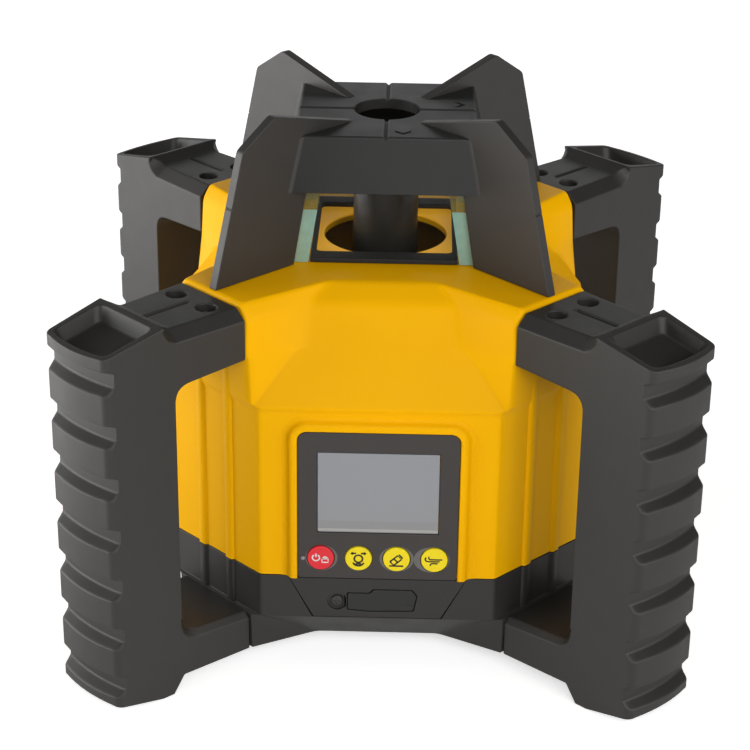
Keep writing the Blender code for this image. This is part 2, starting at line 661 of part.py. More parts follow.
def flap_outline(margin=0.0):
    """The flap's strap and tab, seen from the front."""
    left, neck, right = FLAP_HINGE_X + GAP, -2.9 * MM, 16.4 * MM
    low, high, step_z = 24.7 * MM - margin, 34.8 * MM + margin, 33.0 * MM + margin
    return [(left - margin, low + 0.8 * MM), (neck, low), (right - 1.4 * MM + margin, low + 0.5 * MM),
            (right + margin, 32.0 * MM), (right - 2.2 * MM + margin, high),
            (neck + 1.5 * MM - margin, high), (neck - margin, step_z), (left - margin, step_z)]


def port():
    """Port plate on the skirt, the rubber flap with its plug, its screw, and the socket behind."""
    plate = prism("port_plate", port_outline(), -PORT_Y, -PORT_POCKET_Y - GAP, "XZ")
    cut(plate, prism("flap_bed", flap_outline(GAP), -PORT_Y - 1 * MM, -PORT_Y + FLAP_THICK + GAP, "XZ"))
    cut(plate, box("plug_hole", (PLUG_X[0] - 0.6 * MM, -95 * MM, PLUG_Z[0] - 0.6 * MM),
                   (PLUG_X[1] + 0.9 * MM, -80 * MM, PLUG_Z[1] + 0.6 * MM)))
    cut(plate, rod("screw_bed", 3.9 * MM, -PORT_Y - 1 * MM, -PORT_Y + 1.4 * MM, FLAP_SCREW, "XZ", 20))
    cut(plate, rod("screw_hole", 1.2 * MM, -95 * MM, -80 * MM, FLAP_SCREW, "XZ", 12))
    flap = prism("port_flap", flap_outline(), -PORT_Y, -PORT_Y + FLAP_THICK, "XZ", "rubber")
    join(flap, box("plug", (PLUG_X[0], -PORT_Y + 0.5 * MM, PLUG_Z[0]),
                   (PLUG_X[1], -PORT_POCKET_Y - 0.4 * MM, PLUG_Z[1])))
    set_origin(flap, (FLAP_HINGE_X, -PORT_Y, FLAP_SCREW[1]))
    head_y = (-PORT_Y - 0.1 * MM, -PORT_Y + 1.1 * MM)
    screw = rod("flap_screw", 2.6 * MM, *head_y, FLAP_SCREW, "XZ", 20, "steel")
    join(screw, rod("shank", 0.9 * MM, -PORT_Y + 0.6 * MM, -PORT_POCKET_Y - GAP, FLAP_SCREW, "XZ", 12))
    x, z = FLAP_SCREW
    for long, short in ((1.7 * MM, 0.35 * MM), (0.35 * MM, 1.7 * MM)):
        cut(screw, box("slot", (x - long, -90 * MM, z - short), (x + long, -PORT_Y + 0.5 * MM, z + short)))
    socket = box("charging_socket", (SOCKET_X[0], -PORT_POCKET_Y + GAP, SOCKET_Z[0]),
                 (SOCKET_X[1], -74 * MM, SOCKET_Z[1]), "black_plastic")
    cut(socket, box("slot", (SOCKET_X[0] + 1.9 * MM, -90 * MM, SOCKET_Z[0] + 2 * MM),
                    (SOCKET_X[1] - 1.9 * MM, -77 * MM, SOCKET_Z[1] - 2 * MM)))


def housing_knuckle(ends):
    """A hinge knuckle on the back wall, with the web that carries it."""
    y, z = DOOR_HINGE
    barrel = rod("knuckle", KNUCKLE_RADIUS, *ends, DOOR_HINGE, "YZ", 16)
    web = box("web", (ends[0], FRONT_Y - 1.5 * MM, z - 1.2 * MM), (ends[1], y, z + 1.2 * MM))
    return join(barrel, web)


def battery():
    """Battery pack, its hinged door with a turn lock, and the hinge pin."""
    box("battery_pack", (-29 * MM, 60 * MM, 49 * MM), (29 * MM, 82 * MM, 96 * MM), "black_plastic")
    rod("hinge_pin", PIN_RADIUS, -KNUCKLE_END, KNUCKLE_END, DOOR_HINGE, "YZ", 12, "steel")
    low, high = DOOR_Z
    corners = [(-DOOR_HALF, low), (DOOR_HALF, low), (DOOR_HALF, high), (-DOOR_HALF, high)]
    door = prism("battery_door", rounded(corners, 4 * MM), *DOOR_Y, "XZ", "yellow_plastic")
    web_half = KNUCKLE_SPLIT - GAP
    join(door, rod("knuckle", KNUCKLE_RADIUS, -web_half, web_half, DOOR_HINGE, "YZ", 16))
    join(door, box("web", (-web_half, DOOR_Y[0], DOOR_HINGE[1]), (web_half, DOOR_Y[1], low + 1 * MM)))
    cut(door, rod("pin_hole", PIN_RADIUS + GAP, -KNUCKLE_END, KNUCKLE_END, DOOR_HINGE, "YZ", 12))
    shank_radius = 2.5 * MM
    cut(door, rod("lock_hole", shank_radius + GAP, 80 * MM, 100 * MM, (0.0, LOCK_Z), "XZ", 16))
    set_origin(door, (0.0, *DOOR_HINGE))
    dial_y = DOOR_Y[1] + GAP
    lock = rod("battery_lock", shank_radius, 85.8 * MM, dial_y + 1 * MM, (0.0, LOCK_Z), "XZ", 16)
    join(lock, rod("dial", 7 * MM, dial_y, dial_y + 2 * MM, (0.0, LOCK_Z), "XZ", 28))
    grip_long, grip_half = 5.5 * MM, 1.3 * MM
    join(lock, box("grip", (-grip_long, dial_y + 1 * MM, LOCK_Z - grip_half),
                   (grip_long, dial_y + 4 * MM, LOCK_Z + grip_half)))
    set_origin(lock, (0.0, dial_y, LOCK_Z))
    attach(door, lock)


def tripod_bush():
    """The threaded brass bush that stands a little proud of the tub's underside."""
    bore, flange = 7.0 * MM, 20.0 * MM
    face, floor = TUB_BOTTOM_Z - 0.3 * MM, TUB_BOTTOM_Z + 4 * MM + GAP
    turned("tripod_bush", [(bore, face), (BUSH_RADIUS, face), (BUSH_RADIUS, floor), (flange, floor),
                           (flange, floor + 4 * MM), (BUSH_RADIUS, floor + 4 * MM),
                           (BUSH_RADIUS, 26 * MM), (bore, 26 * MM)], 24, "brass")


def chassis():
    """The plate on the tub's standoffs, with the two uprights that carry the gimbal ring."""
    plate = rod("chassis", 56 * MM, *CHASSIS_Z, sides=32, finish="aluminium")
    for side in (-1, 1):
        ends = sorted((side * 36.5 * MM, side * 43 * MM))
        join(plate, box("upright", (ends[0], -9 * MM, CHASSIS_Z[1] - 1 * MM),
                        (ends[1], 9 * MM, PIVOT_Z + 9 * MM)))
    return cut(plate, rod("pivot_hole", TRUNNION_RADIUS + FIT, -60 * MM, 60 * MM, (0.0, PIVOT_Z), "YZ", 20))


def gimbal_ring():
    """The ring that tilts about X in the uprights, with the lever that its drive lifts."""
    half = 6 * MM
    ring = tube("gimbal_ring", *RING_RADII, PIVOT_Z - half, PIVOT_Z + half, 28, "aluminium")
    for side in (-1, 1):
        ends = sorted((side * (RING_RADII[0] + 3 * MM), side * 44 * MM))
        join(ring, rod("trunnion", TRUNNION_RADIUS, *ends, (0.0, PIVOT_Z), "YZ", 20))
    lever_half, lever_thick = 6 * MM, 2 * MM
    join(ring, box("lever", (-lever_half, -LEVER_Y - lever_half, PIVOT_Z - lever_thick),
                   (lever_half, -RING_RADII[1] + 1 * MM, PIVOT_Z + lever_thick)))
    bottom = RING_RADII[1] + 1 * MM
    cut(ring, rod("pivot_hole", TRUNNION_RADIUS + FIT, -bottom, bottom, (0.0, PIVOT_Z), "XZ", 20))
    return set_origin(ring, (0.0, 0.0, PIVOT_Z))


def laser_tube():
    """The tube that tilts about Y in the ring, with its lever and the shelf for the spin motor."""
    inner, outer = TUBE_RADII
    low, high = LASER_TUBE_Z
    body = tube("laser_tube", inner, outer, low, high, 24, "aluminium")
    for side in (-1, 1):
        ends = sorted((side * (inner + 2.5 * MM), side * (RING_RADII[1] - 1 * MM)))
        join(body, rod("trunnion", TRUNNION_RADIUS, *ends, (0.0, PIVOT_Z), "XZ", 20))
    join(body, box("lever", (outer - 2 * MM, -5 * MM, low + 4 * MM),
                   (LEVER_X + 4 * MM, 5 * MM, low + 8 * MM)))
    shelf = box("shelf", (-10 * MM, outer - 2.5 * MM, high - 3 * MM), (10 * MM, MOTOR_Y + 10 * MM, high))
    join(body, shelf)
    cut(body, rod("shaft_hole", 3 * MM, high - 10 * MM, high + 5 * MM, (0.0, MOTOR_Y), sides=16))
    return set_origin(body, (0.0, 0.0, PIVOT_Z))


def beam_train():
    """Laser module, lens and bearings in the tube, and the motor with its belt on the shelf."""
    bore = TUBE_RADII[0] - GAP
    low, high = LASER_TUBE_Z
    body = laser_tube()
    carried = [
        rod("laser_module", bore, low - 8 * MM, low + 16 * MM, finish="black_plastic"),
        rod("collimating_lens", bore, PIVOT_Z + 4 * MM, PIVOT_Z + 8 * MM, finish="glass"),
        tube("lower_bearing", SPINDLE_RADIUS + FIT, bore, high - 16 * MM, high - 11 * MM, 24, "steel"),
        tube("upper_bearing", SPINDLE_RADIUS + FIT, bore, high - 6 * MM, high - 1 * MM, 24, "steel"),
        rod("spin_motor", 8 * MM, high - 19 * MM, high - 3 * MM - GAP, (0.0, MOTOR_Y), finish="steel"),
        drive_belt(),
    ]
    attach(body, *carried)
    head = rotor()
    pulley = motor_pulley()
    attach(body, head, pulley)
    return body


def belt_loop(slack):
    """The closed line round both pulleys at a distance outside them: two arcs and their tangents."""
    big, small = HEAD_PULLEY_RADIUS + slack, MOTOR_PULLEY_RADIUS + slack
    lean = math.asin((big - small) / MOTOR_Y)
    steps = 12
    points = []
    for step in range(steps + 1):
        angle = math.pi - lean + (math.pi + 2 * lean) * step / steps
        points.append((big * math.cos(angle), big * math.sin(angle)))
    for step in range(steps + 1):
        angle = lean + (math.pi - 2 * lean) * step / steps
        points.append((small * math.cos(angle), MOTOR_Y + small * math.sin(angle)))
    return points


def drive_belt():
    middle = (PULLEY_Z[0] + PULLEY_Z[1]) / 2
    half = 2 * MM
    belt = prism("drive_belt", belt_loop(1.3 * MM), middle - half, middle + half, "XY", "rubber")
    return cut(belt, prism("inside", belt_loop(GAP), middle - 2 * half, middle + 2 * half))


def rotor():
    """The spinning part: hollow spindle with its pulley, head, prism and two windows."""
    bore = 5.5 * MM
    low, high = HEAD_Z
    foot = LASER_TUBE_Z[1] - 17 * MM
    spindle = turned("spindle", [(bore, foot), (SPINDLE_RADIUS, foot), (SPINDLE_RADIUS, PULLEY_Z[0]),
                                 (HEAD_PULLEY_RADIUS, PULLEY_Z[0]), (HEAD_PULLEY_RADIUS, PULLEY_Z[1]),
                                 (SPINDLE_RADIUS, PULLEY_Z[1]), (SPINDLE_RADIUS, low - GAP),
                                 (bore, low - GAP)], 24, "aluminium")
    wall, floor, roof = 2 * MM, 3 * MM, 3 * MM
    hollow, eye = HEAD_RADIUS - wall, 8 * MM
    head = turned("rotor_head", [(bore, low), (HEAD_RADIUS, low), (HEAD_RADIUS, high), (eye, high),
                                 (eye, high - roof), (hollow, high - roof), (hollow, low + floor),
                                 (bore, low + floor)], 32, "black_plastic")
    half_x, window_z = 6.5 * MM, (168 * MM, 184 * MM)
    cut(head, box("opening", (-half_x, 9 * MM, window_z[0]), (half_x, 16 * MM, window_z[1])))
    beam_window = box("beam_window", (-half_x + GAP, 10.9 * MM, window_z[0] + GAP),
                      (half_x - GAP, 12.1 * MM, window_z[1] - GAP), "glass")
    top_window = rod("top_window", eye - GAP, high - 2 * MM, high - 0.5 * MM, finish="glass")
    face = 12 * MM
    slant = face * math.tan(math.radians(22.5)) / math.sqrt(2)
    prism_outline = [(-face / 2, 170 * MM), (face / 2, 170 * MM), (face / 2, 182 * MM),
                     (-face / 2 + slant, 182 * MM + slant), (-face / 2 - slant, 182 * MM - slant)]
    prism_glass = prism("five_sided_prism", prism_outline, -5 * MM, 5 * MM, "YZ", "glass")
    attach(head, spindle, beam_window, top_window, prism_glass)
    return head


def motor_pulley():
    """The small pulley on the motor's shaft."""
    place = (0.0, MOTOR_Y)
    shaft = rod("motor_pulley", 1.5 * MM, LASER_TUBE_Z[1] - 3 * MM, PULLEY_Z[0] + 1 * MM, place,
                sides=12, finish="brass")
    join(shaft, rod("wheel", MOTOR_PULLEY_RADIUS, *PULLEY_Z, place))
    return set_origin(shaft, (0.0, MOTOR_Y, PULLEY_Z[0]))


def levelling_drive(axis, place, motor_top, plunger_top):
    """A linear drive on the chassis: a motor with a bore, and the plunger that rises out of it."""
    motor = rod(f"levelling_motor_{axis}", 7.5 * MM, CHASSIS_Z[1] + GAP, motor_top, place, finish="steel")
    radius, sunk = 3 * MM, 8 * MM
    cut(motor, rod("bore", radius + FIT, motor_top - sunk - 5 * MM, motor_top + 5 * MM, place))
    plunger = rod(f"levelling_plunger_{axis}", radius, motor_top - sunk, plunger_top, place, finish="brass")
    set_origin(plunger, (*place, motor_top))


def levelling():
    """One drive under the ring's lever and one under the tube's lever."""
    rest = 1.3 * MM
    levelling_drive("x", (0.0, -LEVER_Y), PIVOT_Z - 12 * MM, PIVOT_Z - 2 * MM - rest)
    levelling_drive("y", (LEVER_X, 0.0), LASER_TUBE_Z[0] - 4 * MM, LASER_TUBE_Z[0] + 4 * MM - rest)


def stand_on_feet():
    """Lift the whole instrument from the datum until its feet stand on the ground."""
    stand = bpy.data.objects.new("stand", None)
    bpy.context.scene.collection.objects.link(stand)
    stand.location.z = FOOT_DROP
    for thing in bpy.data.objects:
        if thing.parent is None and thing is not stand:
            thing.parent = stand


clear_scene()
base_tub()
upper_housing()
housing_seal()
handles()
guard_cap()
guard_legs()
lantern()
panel_and_display()
keys()
port()
battery()
tripod_bush()
chassis()
attach(gimbal_ring(), beam_train())
levelling()
stand_on_feet()
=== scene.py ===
# %% [markdown]
# # A rotating laser level, dressed for its picture
# The real tool is a yellow box carried by four dark corner handles, with a glass lantern on its
# roof in which a head turns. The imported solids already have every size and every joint, so this
# lesson loads them first, and each visible piece is then built again around them with the rounded
# edges, seams and plastic grain that a camera sees. Heights are counted from a datum, the foot of
# the lowest grip bands, because the feet reach three and a half millimetres lower.

# %% Load the fixed frame
import json
import math

import bmesh
import bpy
from mathutils import Matrix, Vector


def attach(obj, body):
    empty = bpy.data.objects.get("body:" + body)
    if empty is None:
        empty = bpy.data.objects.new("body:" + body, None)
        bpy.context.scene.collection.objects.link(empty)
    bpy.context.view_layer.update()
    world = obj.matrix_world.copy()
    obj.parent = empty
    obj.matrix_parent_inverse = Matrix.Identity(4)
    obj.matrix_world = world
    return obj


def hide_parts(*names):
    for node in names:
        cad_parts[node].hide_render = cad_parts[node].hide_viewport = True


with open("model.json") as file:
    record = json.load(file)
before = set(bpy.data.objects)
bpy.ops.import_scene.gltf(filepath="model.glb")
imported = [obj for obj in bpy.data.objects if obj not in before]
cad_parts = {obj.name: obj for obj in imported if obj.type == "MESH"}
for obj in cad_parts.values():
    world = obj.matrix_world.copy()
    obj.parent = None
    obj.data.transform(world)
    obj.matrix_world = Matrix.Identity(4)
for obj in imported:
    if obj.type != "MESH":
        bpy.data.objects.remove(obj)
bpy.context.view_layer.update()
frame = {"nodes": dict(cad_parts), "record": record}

MM = 0.001
DATUM = Vector((0.0, 0.0, 3.5 * MM))
nodes = frame["nodes"]
slot_of = {row["node"]: row["material_slot"] for row in frame["record"]["subparts"]}

# %% [markdown]
# ## Camera
# The picture was taken from a little above, almost straight at the display, with a long lens. The
# numbers come from matching corners of the solids with the picture, so the camera is set by its
# place and its three axes, and nothing has to be tuned by eye. A lens of 105 mm on a 36 mm sensor
# gives the mild perspective of the picture.

# %% Set the camera
camera = bpy.data.objects.new("camera", bpy.data.cameras.new("camera"))
bpy.context.scene.collection.objects.link(camera)
CAMERA_PLACE = Vector((12.6, -870.0, 499.4)) * MM
CAMERA_RIGHT = Vector((0.99964, 0.024218, 0.011855))
CAMERA_UP = Vector((-0.021004, 0.423687, 0.905568))
CAMERA_BACK = Vector((0.016911, -0.905484, 0.42404))
turn = Matrix((CAMERA_RIGHT, CAMERA_UP, CAMERA_BACK)).transposed().to_4x4()
camera.matrix_world = Matrix.Translation(CAMERA_PLACE + DATUM) @ turn
camera.data.sensor_width = 36.0
camera.data.lens = 105.02
camera.data.clip_start = 0.05
bpy.context.scene.camera = camera
print("camera at", [round(v, 3) for v in camera.location])

# %% [markdown]
# ## Floor and light
# The picture is a studio picture: large soft boxes all round, strong on the left, where every dark
# face shines, and a white background that was lit on its own. A low lamp and one behind it on the
# left draw the bright left faces, a card lying on the floor there is what the grips mirror, a wide
# one over the camera lights the yellow front, and two on the right fill the shade. Weaker ones
# stand at the front left, behind and above. All are large, so no shadow has a hard edge.
#
# A background that is lit on its own would also light the tool from below. So the floor is two
# sheets: the upper one is what the camera sees, and the lower one is a little darker and is what
# the tool's light bounces from.

# %% Build the stage
def soft_box(name, place, aim, size, watts):
    """A rectangular area lamp at a place, turned to face a point."""
    lamp = bpy.data.lights.new(name, "AREA")
    lamp.shape = "RECTANGLE"
    lamp.size, lamp.size_y = size
    lamp.energy = watts
    thing = bpy.data.objects.new(name, lamp)
    bpy.context.scene.collection.objects.link(thing)
    thing.location = place
    thing.rotation_euler = (Vector(aim) - Vector(place)).to_track_quat("-Z", "Y").to_euler()
    thing.visible_camera = False
    return thing


TOOL_MIDDLE = (0.0, 0.0, 0.1)
WORLD_STRENGTH = 0.02
FLOOR_HALF = 6.0
LAMPS = {"left_box": ((-1.2, -0.1, 0.3), TOOL_MIDDLE, (1.4, 0.6), 13.0),
         "left_back_box": ((-1.2, 0.8, 0.6), TOOL_MIDDLE, (1.0, 1.0), 2.5),
         "left_card": ((-0.75, 0.0, 0.004), (-0.75, 0.0, 1.0), (0.9, 1.6), 5.2),
         "front_box": ((0.1, -1.7, 1.25), TOOL_MIDDLE, (1.6, 0.9), 14.4),
         "front_left_box": ((-0.9, -1.5, 0.9), TOOL_MIDDLE, (1.0, 0.9), 1.2),
         "front_right_box": ((0.9, -1.5, 0.9), TOOL_MIDDLE, (1.0, 0.9), 7.8),
         "right_box": ((1.3, -0.75, 0.55), TOOL_MIDDLE, (1.1, 1.0), 8.6),
         "back_box": ((0.0, 1.3, 0.5), TOOL_MIDDLE, (1.8, 0.5), 3.0),
         "top_box": ((0.0, 0.0, 1.6), TOOL_MIDDLE, (1.2, 1.2), 1.8)}
for name, (place, aim, size, watts) in LAMPS.items():
    soft_box(name, place, aim, size, watts)

world = bpy.data.worlds.new("studio")
bpy.context.scene.world = world
world.use_nodes = True
world.node_tree.nodes["Background"].inputs["Color"].default_value = (1.0, 1.0, 1.0, 1.0)
world.node_tree.nodes["Background"].inputs["Strength"].default_value = WORLD_STRENGTH

view = bpy.context.scene.view_settings
view.view_transform = "Standard"
view.look = "None"


def floor_sheet(name, height):
    mesh = bpy.data.meshes.new(name)
    signs = ((-1, -1), (1, -1), (1, 1), (-1, 1))
    mesh.from_pydata([(x * FLOOR_HALF, y * FLOOR_HALF, height) for x, y in signs], [], [(0, 1, 2, 3)])
    sheet = bpy.data.objects.new(name, mesh)
    bpy.context.scene.collection.objects.link(sheet)
    return sheet


floor = floor_sheet("floor", -0.2 * MM)
floor.visible_diffuse = False
floor.visible_glossy = False
floor.visible_shadow = False
bounce_floor = floor_sheet("bounce_floor", -0.6 * MM)
bounce_floor.visible_camera = False
print(len(LAMPS), "lamps and a floor")

# %% [markdown]
# ## Arithmetic for finishes
# A finish is a small network of nodes, and networks are hard to read as text. This class wraps one
# socket, so that a sum or a product of two sockets in Python adds the Math node that does it. One
# method makes every other kind of node: it takes the type, then the settings, then the sockets.

# %% A wire between nodes
class Wire:
    """One output of a node, with Python's operators."""

    def __init__(self, tree, socket=None):
        self.tree = tree
        self.socket = socket

    def node(self, kind, settings=None, sockets=None, out=0):
        """Add a node of a kind, with its settings first, then the values or wires of its sockets."""
        made = self.tree.nodes.new(kind)
        for name, value in (settings or {}).items():
            setattr(made, name, value)
        for name, value in (sockets or {}).items():
            if isinstance(value, Wire):
                self.tree.links.new(value.socket, made.inputs[name])
            else:
                made.inputs[name].default_value = value
        return Wire(self.tree, made.outputs[out])

    def maths(self, operation, first, second=0.0):
        return self.node("ShaderNodeMath", {"operation": operation}, {0: first, 1: second})

    def __add__(self, other):
        return self.maths("ADD", self, other)

    def __radd__(self, other):
        return self.maths("ADD", other, self)

    def __sub__(self, other):
        return self.maths("SUBTRACT", self, other)

    def __rsub__(self, other):
        return self.maths("SUBTRACT", other, self)

    def __mul__(self, other):
        return self.maths("MULTIPLY", self, other)

    def __truediv__(self, other):
        return self.maths("DIVIDE", self, other)

    def __pow__(self, other):
        return self.maths("POWER", self, other)

    def __abs__(self):
        return self.maths("ABSOLUTE", self)

    def above(self, other):
        """One where this is greater, nought elsewhere."""
        return self.maths("GREATER_THAN", self, other)

    def between(self, low, high):
        """A mask that is one from low to high."""
        return self.above(low) * (1 - self.above(high))

    def either(self, other):
        return self.maths("MAXIMUM", self, other)

    def axes(self):
        """The three parts of a vector."""
        parts = self.node("ShaderNodeSeparateXYZ", None, {0: self}).socket.node
        return [Wire(self.tree, output) for output in parts.outputs]

    def noise(self, size, detail=2.0):
        """Smooth noise from 0 to 1 whose blobs are about a size across, in metres."""
        return self.node("ShaderNodeTexNoise", None,
                         {"Vector": self, "Scale": 1.0 / size, "Detail": detail})

    def blend(self, first, second):
        """A colour between two others, by this as the share of the second."""
        colours = {0: self}
        for index, colour in ((6, first), (7, second)):
            colours[index] = colour if isinstance(colour, Wire) else (*colour, 1.0)
        return self.node("ShaderNodeMix", {"data_type": "RGBA"}, colours, 2)

    def bump(self, depth, strength):
        """A normal that follows this as a height, with a depth in metres."""
        return self.node("ShaderNodeBump", None, {"Height": self, "Distance": depth, "Strength": strength})


def object_place(tree):
    """Where a point is on the tool, in metres from the datum."""
    place = Wire(tree).node("ShaderNodeTexCoord", None, None, "Object")
    return place.node("ShaderNodeVectorMath", {"operation": "SUBTRACT"}, {0: place, 1: DATUM})


def finish(name, constants, pattern):
    """A material: constants go straight onto the shader, and the pattern's wires into its sockets."""
    material = bpy.data.materials.new(name)
    material.use_nodes = True
    tree = material.node_tree
    shader = tree.nodes["Principled BSDF"]
    for socket, value in constants.items():
        shader.inputs[socket].default_value = value
    for socket, wire in pattern(object_place(tree)).items():
        tree.links.new(wire.socket, shader.inputs[socket])
    return material


print("wires ready")

# %% [markdown]
# ## Moulded plastic
# Every shell here is injection moulded. Its steel mould is spark eroded, which leaves a fine grain
# of about a third of a millimetre that softens every highlight. The colour is nearly even, with a
# slow drift where the plastic flowed, and hands leave patches that shine a little more. Noise at
# three sizes gives all of that, and the same recipe serves each colour. The yellow shell also gets
# painted light: painted shade darkens its inside nearly to black under the roof, and a painted glow
# on the lantern's floor stands for the light that comes through the panes.

# %% Plastics
SHELL_RADIUS, ROOF_UNDERSIDE = 52 * MM, 156.2 * MM
LANTERN_HALF, LANTERN_FLOOR = 29 * MM, 158.5 * MM
# Painted shade for the inside of the shell, and a painted glow for the lantern's floor.
PAINTED_INSIDE_SHADE, PAINTED_LANTERN_GLOW = (0.006, 0.004, 0.002), (0.24, 0.12, 0.012)


def tone(colour, share):
    return tuple(min(1.0, part * share) for part in colour)


def painted_shade_inside(place):
    """One inside the shell and under its roof, where painted shade turns the colour nearly black."""
    x, y, height = place.axes()
    radius = (x * x + y * y) ** 0.5
    return (1 - radius.above(SHELL_RADIUS)) * (1 - height.above(ROOF_UNDERSIDE))


def painted_glow_on_lantern_floor(place):
    """One on the floor of the lantern, where a painted glow stands for the light that the panes let in."""
    x, y, height = place.axes()
    across, along = 1 - abs(x).above(LANTERN_HALF), 1 - abs(y).above(LANTERN_HALF)
    return across * along * height.above(LANTERN_FLOOR)


def moulded(name, colour, roughness, grain=0.35 * MM, depth=0.03 * MM, specular=0.4, drift=0.05,
            shell=False):
    def pattern(place):
        fine = place.noise(grain, 3.0)
        slow = place.noise(38 * MM, 2.0)
        touch = place.noise(9 * MM, 4.0)
        inputs = {
            "Base Color": slow.blend(tone(colour, 1 - drift), tone(colour, 1 + drift)),
            "Roughness": roughness + (touch - 0.5) * 0.16 + (fine - 0.5) * 0.10,
            "Normal": fine.bump(depth, 0.55),
        }
        if shell:
            # Painted shade: the inside of the shell under the roof is darkened nearly to black.
            inputs["Base Color"] = painted_shade_inside(place).blend(inputs["Base Color"], PAINTED_INSIDE_SHADE)
            # Painted glow: the lantern's floor emits a little light in place of the light coming through the
            # panes.
            inputs["Emission Color"] = painted_glow_on_lantern_floor(place).blend((0.0, 0.0, 0.0), PAINTED_LANTERN_GLOW)
        return inputs

    return finish(name, {"Specular IOR Level": specular, "Emission Strength": 1.0 if shell else 0.0}, pattern)


FINISHES = {
    # The yellow plastic carries painted shade inside the shell and a painted glow on the lantern's floor.
    "yellow_plastic": moulded("yellow_plastic", (0.89, 0.44, 0.0), 0.42, 0.30 * MM, 0.012 * MM, 0.06, 0.02,
                              True),
    "dark_plastic": moulded("dark_plastic", (0.0238, 0.0224, 0.0203), 0.50, specular=0.47),
    "guard_plastic": moulded("guard_plastic", (0.029, 0.026, 0.023), 0.46, specular=0.45),
    "black_plastic": moulded("black_plastic", (0.012, 0.012, 0.011), 0.34, 0.25 * MM, 0.008 * MM),
    "rubber": moulded("rubber", (0.019, 0.019, 0.018), 0.68, 0.5 * MM, 0.04 * MM, 0.32),
    "flap_rubber": moulded("flap_rubber", (0.021, 0.0212, 0.0195), 0.58, 0.5 * MM, 0.04 * MM, 0.42),
    "cap_plastic": moulded("cap_plastic", (0.016, 0.016, 0.0155), 0.46, specular=0.40),
    "red_key": moulded("red_key", (0.72, 0.022, 0.032), 0.38, 0.25 * MM, 0.006 * MM),
    "yellow_key": moulded("yellow_key", (0.84, 0.66, 0.004), 0.38, 0.25 * MM, 0.006 * MM),
    "white_ink": moulded("white_ink", (0.82, 0.76, 0.74), 0.5),
    "black_ink": moulded("black_ink", (0.02, 0.018, 0.01), 0.5),
}
print(len(FINISHES), "plastics and inks")

# %% [markdown]
# ## Floor finish
# The floor is plain and pale, with the faintest mottling of a painted table. It glows a little by
# emission, the same all over, and the upper sheet glows more than the sheet that bounces light.

# %% Dress the floor
def floor_finish(name, glow):
    def pattern(place):
        return {"Base Color": place.noise(0.4).blend((0.86, 0.86, 0.86), (0.90, 0.90, 0.90))}

    return finish(name, {"Emission Color": (1.0, 1.0, 1.0, 1.0), "Emission Strength": glow, "Roughness": 0.9,
                         "Specular IOR Level": 0.0}, pattern)


floor.data.materials.append(floor_finish("pale_floor", 0.6))
bounce_floor.data.materials.append(floor_finish("bounce_floor", 0.15))
print("floor dressed")

# %% [markdown]
# ## Metals, board, screen and panel
# Turned metal shows fine rings round its axis, so its noise is stretched along the rings by
# squeezing the coordinates. The circuit board is green with lighter tracks on a grid. The display
# is switched off: a grey film with a darker band and a light line along its bottom edge. The
# panel is a printed membrane, so the grey rims beside the keys are part of its print, worked out
# from the distance to each key.

# %% Metals and the rest
KEY_X = [-23.325, -7.775, 7.775, 23.325]
KEY_Z = 50.8
RIM_SHIFTS, RIM_LENGTHS, RIM_HEIGHT = (0.35, 0.0, 0.1, -1.1), (6.6, 5.9, 7.0, 7.4), 5.9
SCREEN_Z = (62.9 * MM, 98.9 * MM)


def metal(name, colour, roughness):
    def pattern(place):
        x, y, z = place.axes()
        rings = place.node("ShaderNodeCombineXYZ", None, {0: x * 40.0, 1: y * 40.0, 2: z * 2500.0})
        lines = rings.node("ShaderNodeTexNoise", None, {"Vector": rings, "Scale": 1.0, "Detail": 3.0})
        return {
            "Base Color": place.noise(6 * MM).blend(tone(colour, 0.85), tone(colour, 1.1)),
            "Roughness": roughness + (lines - 0.5) * 0.25,
            "Normal": lines.bump(0.006 * MM, 0.5),
        }

    return finish(name, {"Metallic": 1.0}, pattern)


def board_pattern(place):
    x, _, z = place.axes()
    upright = abs(x.maths("SINE", x * 400.0)).above(0.93)
    level = abs(z.maths("SINE", z * 340.0)).above(0.95)
    track = upright.either(level) * place.noise(7 * MM).above(0.45)
    return {"Base Color": track.blend((0.008, 0.09, 0.03), (0.03, 0.2, 0.07))}


def screen_pattern(place):
    x, _, z = place.axes()
    height = (z - SCREEN_Z[0]) / (SCREEN_Z[1] - SCREEN_Z[0])
    film = height.blend((0.262, 0.266, 0.278), (0.252, 0.262, 0.282))
    band = (1 - height.above(0.145)).blend(film, (0.245, 0.242, 0.246))
    pixels = abs(x.maths("SINE", x * 9000.0)) * abs(z.maths("SINE", z * 9000.0))
    line = height.between(0.012, 0.042).blend(band, (0.36, 0.35, 0.325))
    return {"Base Color": (pixels * 0.12).blend(line, (0.2, 0.2, 0.21)),
            "Roughness": 0.16 + place.noise(4 * MM) * 0.06}


def panel_pattern(place):
    x, _, z = place.axes()
    rim = None
    for middle, shift, long in zip(KEY_X, RIM_SHIFTS, RIM_LENGTHS):
        across = (x - (middle + shift) * MM) / (long * MM)
        up = (z - KEY_Z * MM) / (RIM_HEIGHT * MM)
        inside = 1 - (across * across + up * up).above(1.0)
        rim = inside if rim is None else rim.either(inside)
    fine = place.noise(0.3 * MM, 3.0)
    base = place.noise(30 * MM).blend((0.043, 0.038, 0.036), (0.048, 0.043, 0.040))
    return {"Base Color": rim.blend(base, (0.13, 0.125, 0.122)),
            "Roughness": 0.46 + (place.noise(8 * MM, 3.0) - 0.5) * 0.16,
            "Normal": fine.bump(0.02 * MM, 0.5)}


